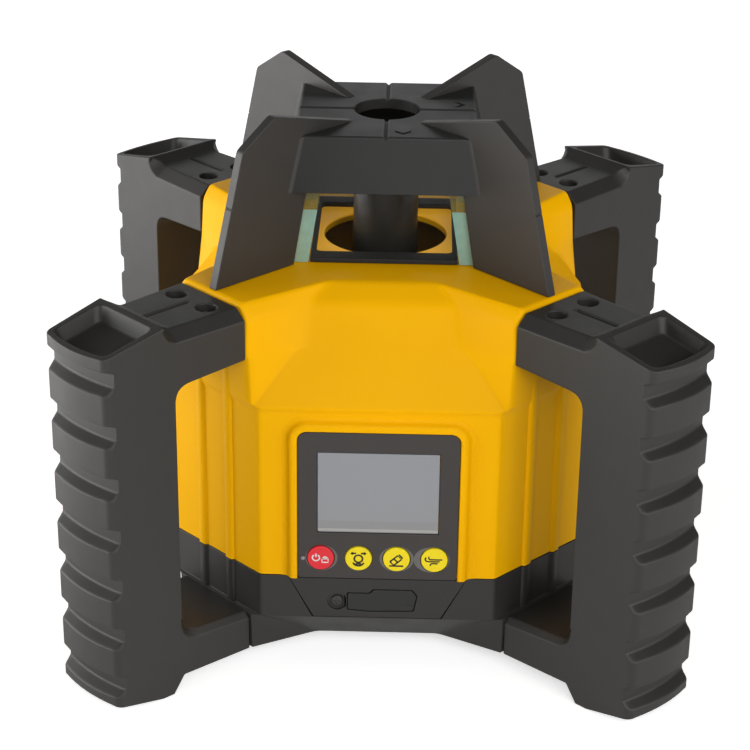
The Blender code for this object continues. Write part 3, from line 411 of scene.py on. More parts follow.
FINISHES["steel"] = metal("steel", (0.42, 0.42, 0.43), 0.36)
FINISHES["black_steel"] = metal("black_steel", (0.09, 0.088, 0.085), 0.38)
FINISHES["brass"] = metal("brass", (0.66, 0.46, 0.19), 0.34)
FINISHES["aluminium"] = metal("aluminium", (0.55, 0.55, 0.57), 0.42)
FINISHES["board"] = finish("board", {"Roughness": 0.45}, board_pattern)
FINISHES["screen"] = finish("screen", {"Coat Weight": 0.6, "Coat Roughness": 0.05}, screen_pattern)
FINISHES["panel_plastic"] = finish("panel_plastic", {"Specular IOR Level": 0.35}, panel_pattern)
print("finishes so far:", ", ".join(FINISHES))

# %% [markdown]
# ## Lantern glass
# The four panes are thick float glass. Seen through its face such a pane is almost clear, and seen
# through its ground edge it is sea green, because the light has come a long way inside it. Only
# the side panes show their edges, which look along Y, so their see through share depends on which
# way the face looks. Near the top the edges get a painted olive shade, standing for the shade under
# the cap, and grazing faces show a little more.

# %% Glass
# Above this height the glass edges get a painted olive shade.
OLIVE_SHADE_FROM = 181.5 * MM


def glass_finish(name, ground):
    """Clear glass, or glass whose narrow ground edges look along Y, sea green, with painted olive shade at
    the upper end.
    """
    def pattern(place):
        facing = place.node("ShaderNodeTexCoord", None, None, "Normal").axes()[1]
        edge = abs(facing).above(0.7) * ground
        graze = place.node("ShaderNodeLayerWeight", None, {"Blend": 0.25}, "Facing")
        streak = place.noise(5 * MM)
        # Sea green edge colour, turned to a painted olive shade near the top of the pane.
        shade = place.axes()[2].above(OLIVE_SHADE_FROM).blend((0.26, 0.50, 0.42), (0.17, 0.13, 0.012))
        return {
            "Base Color": edge.blend((0.25, 0.24, 0.19), shade),
            "Alpha": 0.008 + edge * (0.6 + streak * 0.3) + graze * 0.04,
            "Roughness": 0.03 + edge * 0.22,
        }

    return finish(name, {"Specular IOR Level": 0.9, "IOR": 1.52}, pattern)


FINISHES["glass"] = glass_finish("glass", 0.0)
FINISHES["side_glass"] = glass_finish("side_glass", 1.0)
for name, solid in nodes.items():
    solid.data.materials.clear()
    solid.data.materials.append(FINISHES[slot_of[name]])
print("every solid has a finish")

# %% [markdown]
# ## Shape helpers
# Most pieces are lofts: rings of points joined by faces. A sharp corner of a ring, or of the lines
# that run from ring to ring, is replaced by a short curve, which rounds the form while the mesh
# stays a clean grid. Holes are cut with Boolean tools, and what is still sharp afterwards gets a
# Bevel modifier, limited to steep edges. Forms are drawn in millimetres, and a piece is in metres.

# %% Lofts, cuts and rounded edges
HALF_WAY = 0.48


def softened(line, reach, steps=3, between=0, closed=True):
    """The line with each corner turned into a curve that starts and ends a reach away from it. A
    corner with no reach stays sharp."""
    points = [Vector(point) for point in line]
    reaches = reach if isinstance(reach, (list, tuple)) else [reach] * len(points)
    result = []
    for index, corner in enumerate(points):
        before, after = points[index - 1], points[(index + 1) % len(points)]
        if not closed and index in (0, len(points) - 1):
            result.append(corner)
            continue
        curve_steps = steps if reaches[index] else 0
        start = corner.lerp(before, min(HALF_WAY, reaches[index] / (before - corner).length))
        end = corner.lerp(after, min(HALF_WAY, reaches[index] / (after - corner).length))
        for step in range(curve_steps + 1):
            share = step / steps
            result.append(start.lerp(corner, share).lerp(corner.lerp(end, share), share))
        next_reach = reaches[(index + 1) % len(points)]
        next_start = after.lerp(corner, min(HALF_WAY, next_reach / (after - corner).length))
        result += [end.lerp(next_start, (step + 1) / (between + 1)) for step in range(between)]
    return result


def soft_rows(rows, reaches):
    """More rows, so that each line from row to row has soft corners."""
    columns = [softened(column, reaches) for column in zip(*rows)]
    return [list(row) for row in zip(*columns)]


class Form:
    """Points and faces of one piece, gathered from several sheets."""

    def __init__(self):
        self.points = []
        self.faces = []

    def sheet(self, rows, ring=False):
        """Faces between rows of points. A ring joins the last row to the first, or else both are closed."""
        first, wide, tall = len(self.points), len(rows[0]), len(rows)
        for row in rows:
            self.points += [tuple(point) for point in row]
        for low in range(tall if ring else tall - 1):
            high = (low + 1) % tall
            for step in range(wide):
                after = (step + 1) % wide
                self.faces.append((first + low * wide + step, first + low * wide + after,
                                   first + high * wide + after, first + high * wide + step))
        if not ring:
            self.faces.append(tuple(range(first, first + wide)))
            self.faces.append(tuple(range(first + (tall - 1) * wide, first + tall * wide)))
        return self

    def prism(self, outline, low, high, plane="XY"):
        """A straight solid of an outline drawn in a plane."""
        place = {"XY": lambda p, h: (p[0], p[1], h), "XZ": lambda p, h: (p[0], h, p[1]),
                 "YZ": lambda p, h: (h, p[0], p[1])}[plane]
        return self.sheet([[place(point, height) for point in outline] for height in (low, high)])

    def piece(self, name, smooth=True):
        """The mesh object in metres, lifted from the datum, with its faces turned outward."""
        mesh = bpy.data.meshes.new(name)
        shape = bmesh.new()
        corners = [shape.verts.new(Vector([part * MM for part in point]) + DATUM) for point in self.points]
        for face in self.faces:
            shape.faces.new([corners[index] for index in face])
        bmesh.ops.recalc_face_normals(shape, faces=shape.faces)
        for face in shape.faces:
            face.smooth = smooth
        shape.to_mesh(mesh)
        shape.free()
        made = bpy.data.objects.new(name, mesh)
        bpy.context.scene.collection.objects.link(made)
        return made


def box_outline(low, high):
    return [(low[0], low[1]), (high[0], low[1]), (high[0], high[1]), (low[0], high[1])]


def circle(radius, sides=48, middle=(0.0, 0.0)):
    angles = [2 * math.pi * step / sides for step in range(sides)]
    return [(middle[0] + radius * math.cos(a), middle[1] + radius * math.sin(a)) for a in angles]


def slab(outline, low=-30.0, high=30.0):
    """A straight solid along Y of an outline seen from the front."""
    return Form().prism(outline, low, high, "XZ")


POLE_RADIUS = 0.01


def turned(profile, sides, place=(0.0, 0.0, 0.0), axis="Y"):
    """A solid of revolution from a profile of (radius, height), about an axis through a place."""
    rows = []
    for radius, height in profile:
        row = []
        for a, b in circle(max(radius, POLE_RADIUS), sides):
            local = {"Z": (a, b, height), "Y": (a, height, b)}[axis]
            row.append(Vector(local) + Vector(place))
        rows.append(row)
    return Form().sheet(rows)


def carve(piece, tool):
    """Cut a form out of a piece, and drop the tool."""
    cutter = tool.piece("cutter", False)
    modifier = piece.modifiers.new("carve", "BOOLEAN")
    modifier.operation = "DIFFERENCE"
    modifier.object = cutter
    graph = bpy.context.evaluated_depsgraph_get()
    mesh = bpy.data.meshes.new_from_object(piece.evaluated_get(graph))
    piece.modifiers.clear()
    piece.data = mesh
    bpy.data.objects.remove(cutter, do_unlink=True)


MERGE_DISTANCE, FLAT_ANGLE = 0.03, 0.4


def tidy_mesh(piece, crease=180.0):
    """Merge points that a cut left side by side, drop edges that lie inside flat faces, and keep the
    shading crisp at edges that are steeper than the crease."""
    shape = bmesh.new()
    shape.from_mesh(piece.data)
    bmesh.ops.remove_doubles(shape, verts=shape.verts, dist=MERGE_DISTANCE * MM)
    bmesh.ops.dissolve_limit(shape, angle_limit=math.radians(FLAT_ANGLE), verts=shape.verts,
                             edges=shape.edges)
    for face in shape.faces:
        face.smooth = True
    for edge in shape.edges:
        edge.smooth = edge.calc_face_angle(0.0) < math.radians(crease)
    shape.to_mesh(piece.data)
    shape.free()


def round_edges(piece, width, angle=30.0, segments=3):
    """Round every edge that is steeper than an angle, by a width in millimetres."""
    bevel = piece.modifiers.new("rounded", "BEVEL")
    bevel.width = width * MM
    bevel.segments = segments
    bevel.limit_method = "ANGLE"
    bevel.angle_limit = math.radians(angle)
    bevel.use_clamp_overlap = False
    bevel.harden_normals = True
    return piece


def even_normals(piece):
    """Let the large faces decide the shading of the small ones beside them."""
    piece.modifiers.new("even", "WEIGHTED_NORMAL").keep_sharp = True
    return piece


def dress(piece, body, slot, *replaced, look=None):
    """Give a piece its finish, its body and the solids that it stands for."""
    piece.data.materials.clear()
    piece.data.materials.append(FINISHES[look or slot])
    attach(piece, body)
    if replaced:
        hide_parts(*replaced)
    print(piece.name, "has", len(piece.data.polygons), "faces")
    return piece


HANDLE_TURNS = {"front_left": 225, "front_right": 315, "back_right": 45, "back_left": 135}


def turned_to(point, degrees):
    return Matrix.Rotation(math.radians(degrees), 3, "Z") @ Vector(point)


def placed_copy(piece, name, degrees, shift=(0.0, 0.0, 0.0), spin=0.0):
    """A copy with its own mesh, spun about its axis, shifted, and then turned to a corner."""
    copy = piece.copy()
    copy.name = name
    copy.data = piece.data.copy()
    move = Matrix.Translation(Vector(shift) * MM) @ Matrix.Rotation(math.radians(spin), 4, "Z")
    copy.data.transform(Matrix.Rotation(math.radians(degrees), 4, "Z") @ move)
    bpy.context.scene.collection.objects.link(copy)
    return copy


print("helpers ready")

# %% [markdown]
# ## Yellow housing
# The upper housing is an eight sided box whose four foreheads lean back to a flat roof with a
# round hole for the turning head. One closed skin is laid through twelve levels: up the outside,
# over the roof, through the hole and down the inside. Each level is the same eight sided outline with
# other sizes, so the loft stays a grid, and the soft corners of rings and rows round every edge.
# The two ribs on each slanted face, the frame round the panel and the hinge barrels on the back
# are added as sheets of their own that reach a little into the wall.

# %% Housing levels
ROOF_Z, ROOF_UNDER = 159.4, 155.9
HOLE_RADIUS = 26.1
HOUSING_REACHES = (0.4, 1.6, 0.9, 3.0, 2.6, 2.2, 0.7, 0.5, 0.5, 0.5, 0.5, 0.4)


def side_ring(corner, knee, height, reach=1.8, corner_reach=1.8):
    """One level: corner and knee of a side in millimetres, mirrored, and turned to all four sides."""
    side = [(-corner[0], -corner[1]), (-knee[0], -knee[1]), (knee[0], -knee[1]),
            (corner[0], -corner[1])]
    ring = []
    for quarter in range(4):
        turn = Matrix.Rotation(math.radians(90 * quarter), 2)
        ring += [(*(turn @ Vector(point)), height) for point in side]
    return softened(ring, [corner_reach, reach, reach, corner_reach] * 4, 3, 4)


def round_ring(radius, height, like):
    """A circle with one point at the angle of each point of another ring."""
    return [(*(point.to_2d().normalized() * radius), height) for point in like]


outside = [side_ring((49.0, 86.7), (47.8, 87.3), 41.0),
           side_ring((49.0, 86.7), (47.8, 87.3), 115.6),
           side_ring((52.4, 84.5), (49.2, 88.3), 117.6),
           side_ring((53.4, 84.2), (30.8, 73.7), 139.3, 3.0),
           side_ring((53.0, 83.5), (29.0, 64.0), 153.5, 3.0),
           side_ring((55.7, 80.4), (21.5, 55.0), ROOF_Z, 3.0)]
inside = [side_ring((50.0, 79.8), (27.5, 60.5), 151.4),
          side_ring((50.5, 80.5), (30.0, 70.0), 136.0),
          side_ring((47.0, 83.4), (46.0, 84.0), 113.5),
          side_ring((47.0, 83.4), (46.0, 84.0), 41.0)]
hole = [round_ring(HOLE_RADIUS, height, outside[-1]) for height in (ROOF_Z, ROOF_UNDER)]
housing_rows = soft_rows(outside + hole + inside, HOUSING_REACHES)
print("housing skin of", len(housing_rows), "rows")

# %% Ribs, frame and hinge barrels
RIB_SPACING = 8.6


def ribs_form(low, high, reach):
    """Two upright ribs with a flared root on each slanted face."""
    form = Form()
    half = [(reach - 4.0, 3.6), (reach - 1.5, 2.7), (reach - 0.5, 2.2), (reach, 1.6)]
    for degrees in HANDLE_TURNS.values():
        for side in (-RIB_SPACING, RIB_SPACING):
            outline = [(u, side + v) for u, v in half] + [(u, side - v) for u, v in reversed(half)]
            form.sheet([[turned_to((u, v, z), degrees) for u, v in outline] for z in (low, high)])
    return form


def frame_form():
    """The raised arch round the panel: a hump with a steep inner wall and a slow outer slope."""
    inner, top, corner, foot, steps = 32.9, 108.3, 4.0, 41.0, 8
    path = [((-inner, foot), (-1.0, 0.0))]
    for start, middle in ((180, corner - inner), (90, inner - corner)):
        for step in range(steps + 1):
            angle = math.radians(start - 90 * step / steps)
            out = (math.cos(angle), math.sin(angle))
            path.append(((middle + corner * out[0], top - corner + corner * out[1]), out))
    path.append(((inner, foot), (1.0, 0.0)))
    profile = softened([(0.0, 86.0), (0.0, 90.2), (2.9, 90.2), (4.3, 87.6), (7.0, 87.2), (7.0, 86.0)],
                       [0.2, 0.7, 1.2, 1.2, 0.2, 0.2], 3)
    return Form().sheet([[(place[0] + out[0] * offset, -depth, place[1] + out[1] * offset)
                          for offset, depth in profile] for place, out in path])


PIN_Y, PIN_Z, BARREL_RADIUS = 89.8, 43.7, 2.2


def barrels_form():
    """The two hinge barrels for the battery door, with the webs that carry them."""
    form = Form()
    for side in (-1, 1):
        ends = sorted((side * 12.3, side * 20.0))
        form.prism(circle(BARREL_RADIUS, 24, (PIN_Y, PIN_Z)), *ends, "YZ")
        form.prism(box_outline((85.8, PIN_Z - 1.2), (PIN_Y, PIN_Z + 1.2)), *ends, "YZ")
    return form


housing = Form().sheet(housing_rows, ring=True).piece("yellow_housing")
carve(housing, slab(softened(box_outline((-31, 47), (31, 103.5)), 3), 80, 95))
even_normals(dress(housing, "housing", "yellow_plastic", "upper_housing"))
ribs = ribs_form(41.0, 136.9, 97.2).piece("housing_ribs")
dress(round_edges(ribs, 0.35, 40), "housing", "yellow_plastic")
even_normals(dress(frame_form().piece("panel_frame"), "housing", "yellow_plastic"))
barrels = barrels_form().piece("hinge_barrels")
dress(round_edges(barrels, 0.3, 40), "housing", "yellow_plastic")

# %% [markdown]
# ## Dark tub
# Under the yellow housing sits the dark tub: an upright skirt, and below it sides that lean in to
# the floor, with a small toe at each corner that meets the handle's foot. It is the same kind of
# skin as the housing, over the rim, down the inside and through the hole for the tripod bush. The
# bed of the port plate is cut out of its front, a little larger than the plate, so that a dark
# seam shows all round.

# %% Build the tub
PORT_OUTLINE = [(-26.5, 21.8), (26.5, 21.8), (36.5, 40.1), (-36.5, 40.1)]


def grown(outline, margin):
    """The outline moved outward from its middle by about a margin."""
    middle_x = sum(point[0] for point in outline) / len(outline)
    middle_z = sum(point[1] for point in outline) / len(outline)
    return [(x + math.copysign(margin, x - middle_x), z + math.copysign(margin, z - middle_z))
            for x, z in outline]


TUB_FLOOR, TUB_INSIDE, TUB_KNEE, TUB_RIM, BUSH_HOLE = 3.7, 7.7, 21.1, 40.7, 14.3
TUB_REACHES = (0.6, 0.3, 0.3, 0.4, 0.5, 1.0, 1.0, 0.4, 0.6)
tub_rows = [side_ring((52.3, 84.8), (25.7, 70.4), TUB_FLOOR, 2.5, 0.4),
            side_ring((52.6, 85.2), (46.9, 86.7), 20.4, 0.8, 0.4),
            side_ring((49.0, 86.7), (47.8, 87.3), TUB_KNEE, 0.8, 0.8),
            side_ring((49.0, 86.7), (47.8, 87.3), TUB_RIM, 0.8, 0.8),
            side_ring((45.0, 81.0), (44.0, 82.0), TUB_RIM),
            side_ring((45.0, 81.0), (44.0, 82.0), TUB_KNEE),
            side_ring((46.0, 78.0), (24.0, 67.0), TUB_INSIDE)]
tub_rows += [round_ring(BUSH_HOLE, height, tub_rows[0]) for height in (TUB_INSIDE, TUB_FLOOR)]
tub = Form().sheet(soft_rows(tub_rows, TUB_REACHES), ring=True).piece("dark_tub")
carve(tub, slab(grown(PORT_OUTLINE, 0.5), -95, -84.9))
carve(tub, slab(box_outline((0.2, 25.3), (13.8, 33.3)), -90, -78))
even_normals(dress(tub, "housing", "dark_plastic", "base_tub"))
skirt_ribs = ribs_form(20.9, TUB_RIM, 97.0).piece("skirt_ribs")
dress(round_edges(skirt_ribs, 0.35, 40), "housing", "dark_plastic")

# %% [markdown]
# ## Corner handles
# Each handle is one thick moulding: an arm from the housing, a post with seven grip bands, a foot
# and a shallow tray on top. It is drawn along X and then turned to its corner. The blank is a
# straight block whose outer end is bowed and round at the corners. The hand window, the arm's top,
# the underside, the slanted edges, the tray, the slit and the screw holes are cut out, and a small
# bevel rounds what the cuts leave. The grip grooves come last, cut by tools with round edges.

# %% Handle outline
BAND_REACH, GROOVE_REACH, SIDE_REACH = 166.7, 162.2, 162.0
BAND_COUNT, BAND_TOP, BAND_PITCH = 7, 140.3, 22.47
BAND_CORNER, BAND_BOW = 3.5, 2.0
ARM_END, ARM_TOP, ARM_UNDER, POST_INNER = 97.3, 158.1, 137.2, 131.6
RIM_INNER, RIM_OUTER = (136.4, 161.5), (164.0, 155.8)
SCREW_REACH, SCREW_SPACING, SCREW_SEAT = 106.6, 9.2, 153.4
ROOT_HALF, POST_HALF = 22.0, 19.0


def band_outline():
    """Half of the bowed outer face with its round corner, from the side to the middle."""
    flat, root = POST_HALF - BAND_CORNER, BAND_REACH - BAND_BOW - BAND_CORNER
    angles = [math.radians(90 - 90 * step / 6) for step in range(7)]
    half = [(root + BAND_CORNER * math.cos(a), flat + BAND_CORNER * math.sin(a)) for a in angles]
    return half + [(BAND_REACH - BAND_BOW * share ** 2, flat * share) for share in (0.75, 0.5, 0.25, 0.0)]


def mirrored(half):
    return half + [(u, -v) for u, v in reversed(half[:-1])]


def rim_height(reach):
    slope = (RIM_OUTER[1] - RIM_INNER[1]) / (RIM_OUTER[0] - RIM_INNER[0])
    return RIM_INNER[1] + slope * (reach - RIM_INNER[0])


print("handle outline of", len(mirrored(band_outline())), "points")

# %% Tools that cut the handle
GROOVE_BOW, GROOVE_HALF, GROOVE_DEPTH = 1.5, 15.5, 3.2
GROOVE_LEDGE, GROOVE_CEILING, GROOVE_MOUTH = 2.9, 9.2, 9.97
TOOL_BELOW, TOOL_ABOVE, TOOL_SKIN, TOOL_ROOM = 1.3, 11.6, 0.06, 2.0
GROOVE_REACHES = (0, 0, 1.1, 0.9, 0.9, 1.4, 0, 0)
TRAY_CORNERS = [3.5, 3.5, 2, 2, 2, 3.5, 3.5]


def groove_tool(top):
    """The hollow above a band: a slanted ledge, a flatter bowed floor and a nearly level roof, with
    its edges already round."""
    half = band_outline()
    sections = []
    for u, v in mirrored([(half[0][0], half[0][1] + 5), *half]):
        floor = GROOVE_REACH - GROOVE_BOW * (min(abs(v), POST_HALF) / GROOVE_HALF) ** 2
        size = min(1.0, (u - floor) / GROOVE_DEPTH)
        profile = [(u + TOOL_ROOM, top - TOOL_BELOW), (u + TOOL_SKIN, top - TOOL_BELOW), (u, top),
                   (floor, top + GROOVE_LEDGE), (floor, top + GROOVE_CEILING), (u, top + GROOVE_MOUTH),
                   (u + TOOL_SKIN, top + TOOL_ABOVE), (u + TOOL_ROOM, top + TOOL_ABOVE)]
        rounded = softened(profile, [reach * size for reach in GROOVE_REACHES])
        sections.append([(reach, v, height) for reach, height in rounded])
    return Form().sheet(sections)


def tray_tool():
    """The hollow of the tray: walls that lean in to a floor parallel to the rim."""
    rows = []
    for drop, inset in ((6.2, 4.6), (5.7, 4.2), (-3.1, 1.5)):
        near, far, half = RIM_INNER[0] + inset, BAND_REACH - BAND_BOW - inset, POST_HALF - inset
        outline = softened([(near, -half), (far, -half), (far + 1.2, -half / 2), (far + 1.6, 0.0),
                            (far + 1.2, half / 2), (far, half), (near, half)], TRAY_CORNERS, 4)
        rows.append([(u, v, rim_height(u) - drop) for u, v in outline])
    return Form().sheet(rows)


def edge_tool(side, path):
    """A slanted cut along an edge. Each point of the path has its reach and height, the way that the
    surface faces there as an angle, and the width and depth of the slant."""
    rows = []
    for reach, height, facing, wide, deep in path:
        half = ROOT_HALF + (reach - ARM_END) / (SIDE_REACH - ARM_END) * (POST_HALF - ROOT_HALF)
        out = Vector((math.cos(math.radians(facing)), math.sin(math.radians(facing))))
        row = []
        for across, rise in ((half - wide, 0.1), (half + 1, 0.1), (half + 1, -deep * (wide + 1) / wide)):
            point = Vector((reach, height)) + out * rise
            row.append((point.x, side * across, point.y))
        rows.append(row)
    return Form().sheet(rows)


print("handle tools ready")

# %% Cut the handle
NEAR, FAR, BELOW, ABOVE = 90, 200, -30, 220
WINDOW_FOOT, WINDOW_CORNER, HOLE_TOP = 20.2, 7.0, 165
CAP_RISE = [(RIM_INNER[0] - 6.6, ARM_TOP), (RIM_INNER[0] - 4.4, ARM_TOP + 0.9),
            (RIM_INNER[0] - 2.6, ARM_TOP + 2.0)]
UPPER_EDGE = [(NEAR, ARM_TOP, 90, 5.3, 4.6), (RIM_INNER[0] - 9, ARM_TOP, 90, 5.3, 4.6),
              (*CAP_RISE[0], 100, 5.3, 4.8), (*CAP_RISE[1], 115, 5.0, 4.6),
              (*CAP_RISE[2], 118, 4.2, 3.8), (RIM_INNER[0] - 0.6, RIM_INNER[1] - 0.3, 112, 2.6, 2.2)]
LOWER_EDGE = [(NEAR, WINDOW_FOOT, 94, 2.6, 3.0), (124.6, 22.7, 94, 2.6, 3.0),
              (127.7, 23.36, 108, 2.4, 2.6), (129.85, 24.83, 132, 1.9, 2.0),
              (131.16, 27.06, 158, 1.3, 1.3), (POST_INNER, 30.2, 180, 0.9, 0.9)]
UNDERSIDE = [(NEAR, 2.9), (131.1, 3.9), (136.5, -3.5), (142, -3.5), (FAR, 8.68), (FAR, BELOW), (NEAR, BELOW)]


def cut_handle():
    outline = [(ARM_END, ROOT_HALF), *mirrored(band_outline()), (ARM_END, -ROOT_HALF)]
    blank = Form().prism(outline, -5, 167.5).piece("grip_handle")
    window = [(POST_INNER, 23.2), (POST_INNER, ARM_UNDER - 2.5), (NEAR, ARM_UNDER), (NEAR, WINDOW_FOOT)]
    carve(blank, slab(softened(window, WINDOW_CORNER, 8)))
    carve(blank, slab([(NEAR, ARM_TOP), *CAP_RISE, RIM_INNER, (FAR, rim_height(FAR)), (FAR, ABOVE),
                       (NEAR, ABOVE)]))
    carve(blank, slab(UNDERSIDE))
    for side in (-1, 1):
        carve(blank, edge_tool(side, UPPER_EDGE))
        carve(blank, edge_tool(side, LOWER_EDGE))
    carve(blank, tray_tool())
    slit = softened(box_outline((108, -1.0), (130, 1.0)), 0.8)
    carve(blank, Form().prism(slit, ARM_TOP - 1.5, HOLE_TOP))
    for side in (-1, 1):
        hole_outline = circle(4.2, 40, (SCREW_REACH, side * SCREW_SPACING))
        carve(blank, Form().prism(hole_outline, SCREW_SEAT, HOLE_TOP))
    tidy_mesh(blank)
    round_edges(blank, 0.6, 24)
    for index in range(BAND_COUNT):
        carve(blank, groove_tool(BAND_TOP - BAND_PITCH * index))
    tidy_mesh(blank, 32)
    return even_normals(blank)


def dress_corners(piece, name, slot, solid=None):
    """A copy at each corner, for the solid of that corner if there is one, and the pattern dropped."""
    for corner, degrees in HANDLE_TURNS.items():
        replaced = [solid + corner] if solid else []
        dress(placed_copy(piece, name + corner, degrees), "housing", slot, *replaced)
    bpy.data.objects.remove(piece)


dress_corners(cut_handle(), "grip_handle_", "dark_plastic", "handle_")

# %% [markdown]
# ## Arm screws
# Two cross head screws hold each arm. Only the pan head shows, deep in its hole, and it is
# blackened steel. The head is turned on a lathe and the cross is cut into it.

# %% Screws
SHANK_RADIUS, SHANK_LENGTH = 1.6, 4.0


def screw_form(radius, seat, top, axis="Z", place=(0.0, 0.0, 0.0)):
    """A pan head with a short shank, standing along an axis from a seat to a top."""
    rise = top - seat
    end = seat - math.copysign(SHANK_LENGTH, rise)
    profile = [(0.0, end), (SHANK_RADIUS, end), (SHANK_RADIUS, seat), (radius, seat),
               (radius, seat + 0.45 * rise), (radius * 0.93, seat + 0.75 * rise),
               (radius * 0.72, seat + 0.95 * rise), (0.0, top)]
    return turned(profile, 40, place, axis)


def cross_cut(piece, long, wide, low, high, plane="XY", middle=(0.0, 0.0)):
    for a, b in ((long, wide), (wide, long)):
        outline = [(middle[0] + x, middle[1] + y) for x, y in box_outline((-a, -b), (a, b))]
        carve(piece, Form().prism(outline, low, high, plane))


arm_screw = screw_form(3.3, SCREW_SEAT + 0.3, SCREW_SEAT + 2.2).piece("arm_screw")
cross_cut(arm_screw, 2.1, 0.45, SCREW_SEAT + 0.9, HOLE_TOP)
round_edges(arm_screw, 0.12, 35, 2)
for corner, degrees in HANDLE_TURNS.items():
    for number, side in ((1, -1), (2, 1)):
        seat = (SCREW_REACH, side * SCREW_SPACING, 0.0)
        screw = placed_copy(arm_screw, f"arm_screw_{corner}_{number}", degrees, seat, 25 * number)
        dress(screw, "housing", "steel", f"screw_{corner}_{number}", look="black_steel")
bpy.data.objects.remove(arm_screw)

# %% [markdown]
# ## Guard over the lantern
# A stiff cap shields the lantern if the tool falls over. Four fins run from its corners down to
# the roof, and a short notch in the outer edge shows where cap and leg meet. The cap is a low box
# whose walls lean in to a flat top, hollow below, with a round hole for the upward beam, sighting
# grooves along both axes and two small arrow marks that are cut into the top. A concave strip in
# each corner between a fin and the cap catches the light.

# %% Cap
CAP_BOTTOM, CAP_TOP = 191.5, 214.2
CAP_FOOT_HALF, CAP_SHOULDER_HALF, CAP_SHOULDER = 41.3, 36.6, CAP_TOP - 0.6


def square_ring(half, height, corner=1.2):
    ring = [(x * half, y * half, height) for x, y in ((-1, -1), (1, -1), (1, 1), (-1, 1))]
    return softened(ring, corner)


def arrow_mark(x, y, degrees):
    """A small open arrow, as a tool that is cut shallowly into the plate."""
    outline = [(-3.2, 1.4), (0.0, -1.6), (3.2, 1.4), (3.2, 0.0), (0.0, -3.0), (-3.2, 0.0)]
    points = [Vector((x, y)) + Matrix.Rotation(math.radians(degrees), 2) @ Vector(p) for p in outline]
    return Form().prism(points, CAP_TOP - 0.5, CAP_TOP + 1)


cap_rows = [square_ring(27.0, CAP_BOTTOM), square_ring(CAP_FOOT_HALF, CAP_BOTTOM),
            square_ring(CAP_SHOULDER_HALF, CAP_SHOULDER), square_ring(35.9, CAP_TOP)]
cap = Form().sheet(cap_rows).piece("guard_roof")
hollow = [square_ring(28.0, CAP_BOTTOM - 1), square_ring(28.0, CAP_BOTTOM + 3),
          square_ring(37.4, CAP_BOTTOM + 3), square_ring(33.4, CAP_TOP - 4.5)]
carve(cap, Form().sheet(hollow))
carve(cap, Form().prism(circle(13.7, 72), 200, 220))
groove = [(-1.3, CAP_TOP + 0.1), (0.0, CAP_TOP - 1.3), (1.3, CAP_TOP + 0.1)]
for plane in ("XZ", "YZ"):
    carve(cap, Form().prism(groove, -40, 40, plane))
for x, y, degrees in ((7.0, -29.5, 0), (29.5, 7.0, 90)):
    carve(cap, arrow_mark(x, y, degrees))
tidy_mesh(cap)
round_edges(cap, 0.3, 30, 2)
dress(cap, "housing", "guard_plastic", "guard_cap", look="cap_plastic")

# %% Fins and fillets
FIN_HALF, FIN_FOOT, FIN_NOTCH, FIN_INNER = 2.1, 159.7, 191.6, 21
FIN_SHOULDER, FIN_TIP = (80.4, 214.1), (95.8, 159.1)
FILLET_WALL, FILLET_EDGE, FILLET_ROOT = (-0.75, 0.75), (1.05, 0.0), (-0.6, -0.6)


def fin_edge(height, inset=0.0):
    """A point of the fin's straight outer edge, moved inward by an inset."""
    share = (FIN_SHOULDER[1] - height) / (FIN_SHOULDER[1] - FIN_TIP[1])
    return FIN_SHOULDER[0] + share * (FIN_TIP[0] - FIN_SHOULDER[0]) - inset, height


def fillets_form():
    """Two concave strips, one on each side of a fin, in the corner that it makes with the cap."""
    form = Form()
    for side in (1, -1):
        rows = []
        for half, height in ((CAP_FOOT_HALF, CAP_BOTTOM), (CAP_SHOULDER_HALF, CAP_SHOULDER)):
            corner = Vector((half * math.sqrt(2) - FIN_HALF, FIN_HALF))
            wall, edge = corner + Vector(FILLET_WALL), corner + Vector(FILLET_EDGE)
            ring = [corner + Vector(FILLET_ROOT)]
            for share in (0.0, 0.25, 0.5, 0.75, 1.0):
                ring.append(wall * (1 - share) ** 2 + corner * 2 * share * (1 - share) + edge * share ** 2)
            rows.append([(u, side * v, height) for u, v in ring])
        form.sheet(rows)
    return form


fin_outline = softened([(FIN_INNER, CAP_TOP), (63.6, 225.1), FIN_SHOULDER, fin_edge(FIN_NOTCH + 0.3),
                        fin_edge(FIN_NOTCH, 0.4), fin_edge(FIN_NOTCH - 0.3), fin_edge(FIN_FOOT),
                        (54.0, FIN_FOOT), (46.6, 191.2), (54.0, 191.4), (48.5, CAP_TOP - 3),
                        (FIN_INNER, CAP_TOP - 3)], [0, 1.4, 1.4] + [0] * 9, 3)
fin = round_edges(slab(fin_outline, -FIN_HALF, FIN_HALF).piece("fin"), 0.4, 30)
dress_corners(fin, "guard_fin_", "guard_plastic", "guard_leg_")
fillets = fillets_form().piece("fillets")
tidy_mesh(fillets, 40)
dress_corners(even_normals(fillets), "guard_fillet_", "guard_plastic")

# %% [markdown]
# ## Lantern and turning head
# Four panes lean in from the roof to the cap round the head, the side ones thicker and running past
# the front and back ones. Their edges are ground, so they get a fine bevel. The front and back
# panes stand on a soft black gasket that runs round the floor. The head is a plain dark drum with a
# window on one side for the beam and an eye on top for the beam that goes straight up.

# %% Panes and gasket
PANE_LOW, PANE_TOP, PANE_HALF, PANE_LEAN = 159.7, 191.2, 37.0, 5.3
GASKET_LOW, GASKET_TOP = 159.7, 161.7


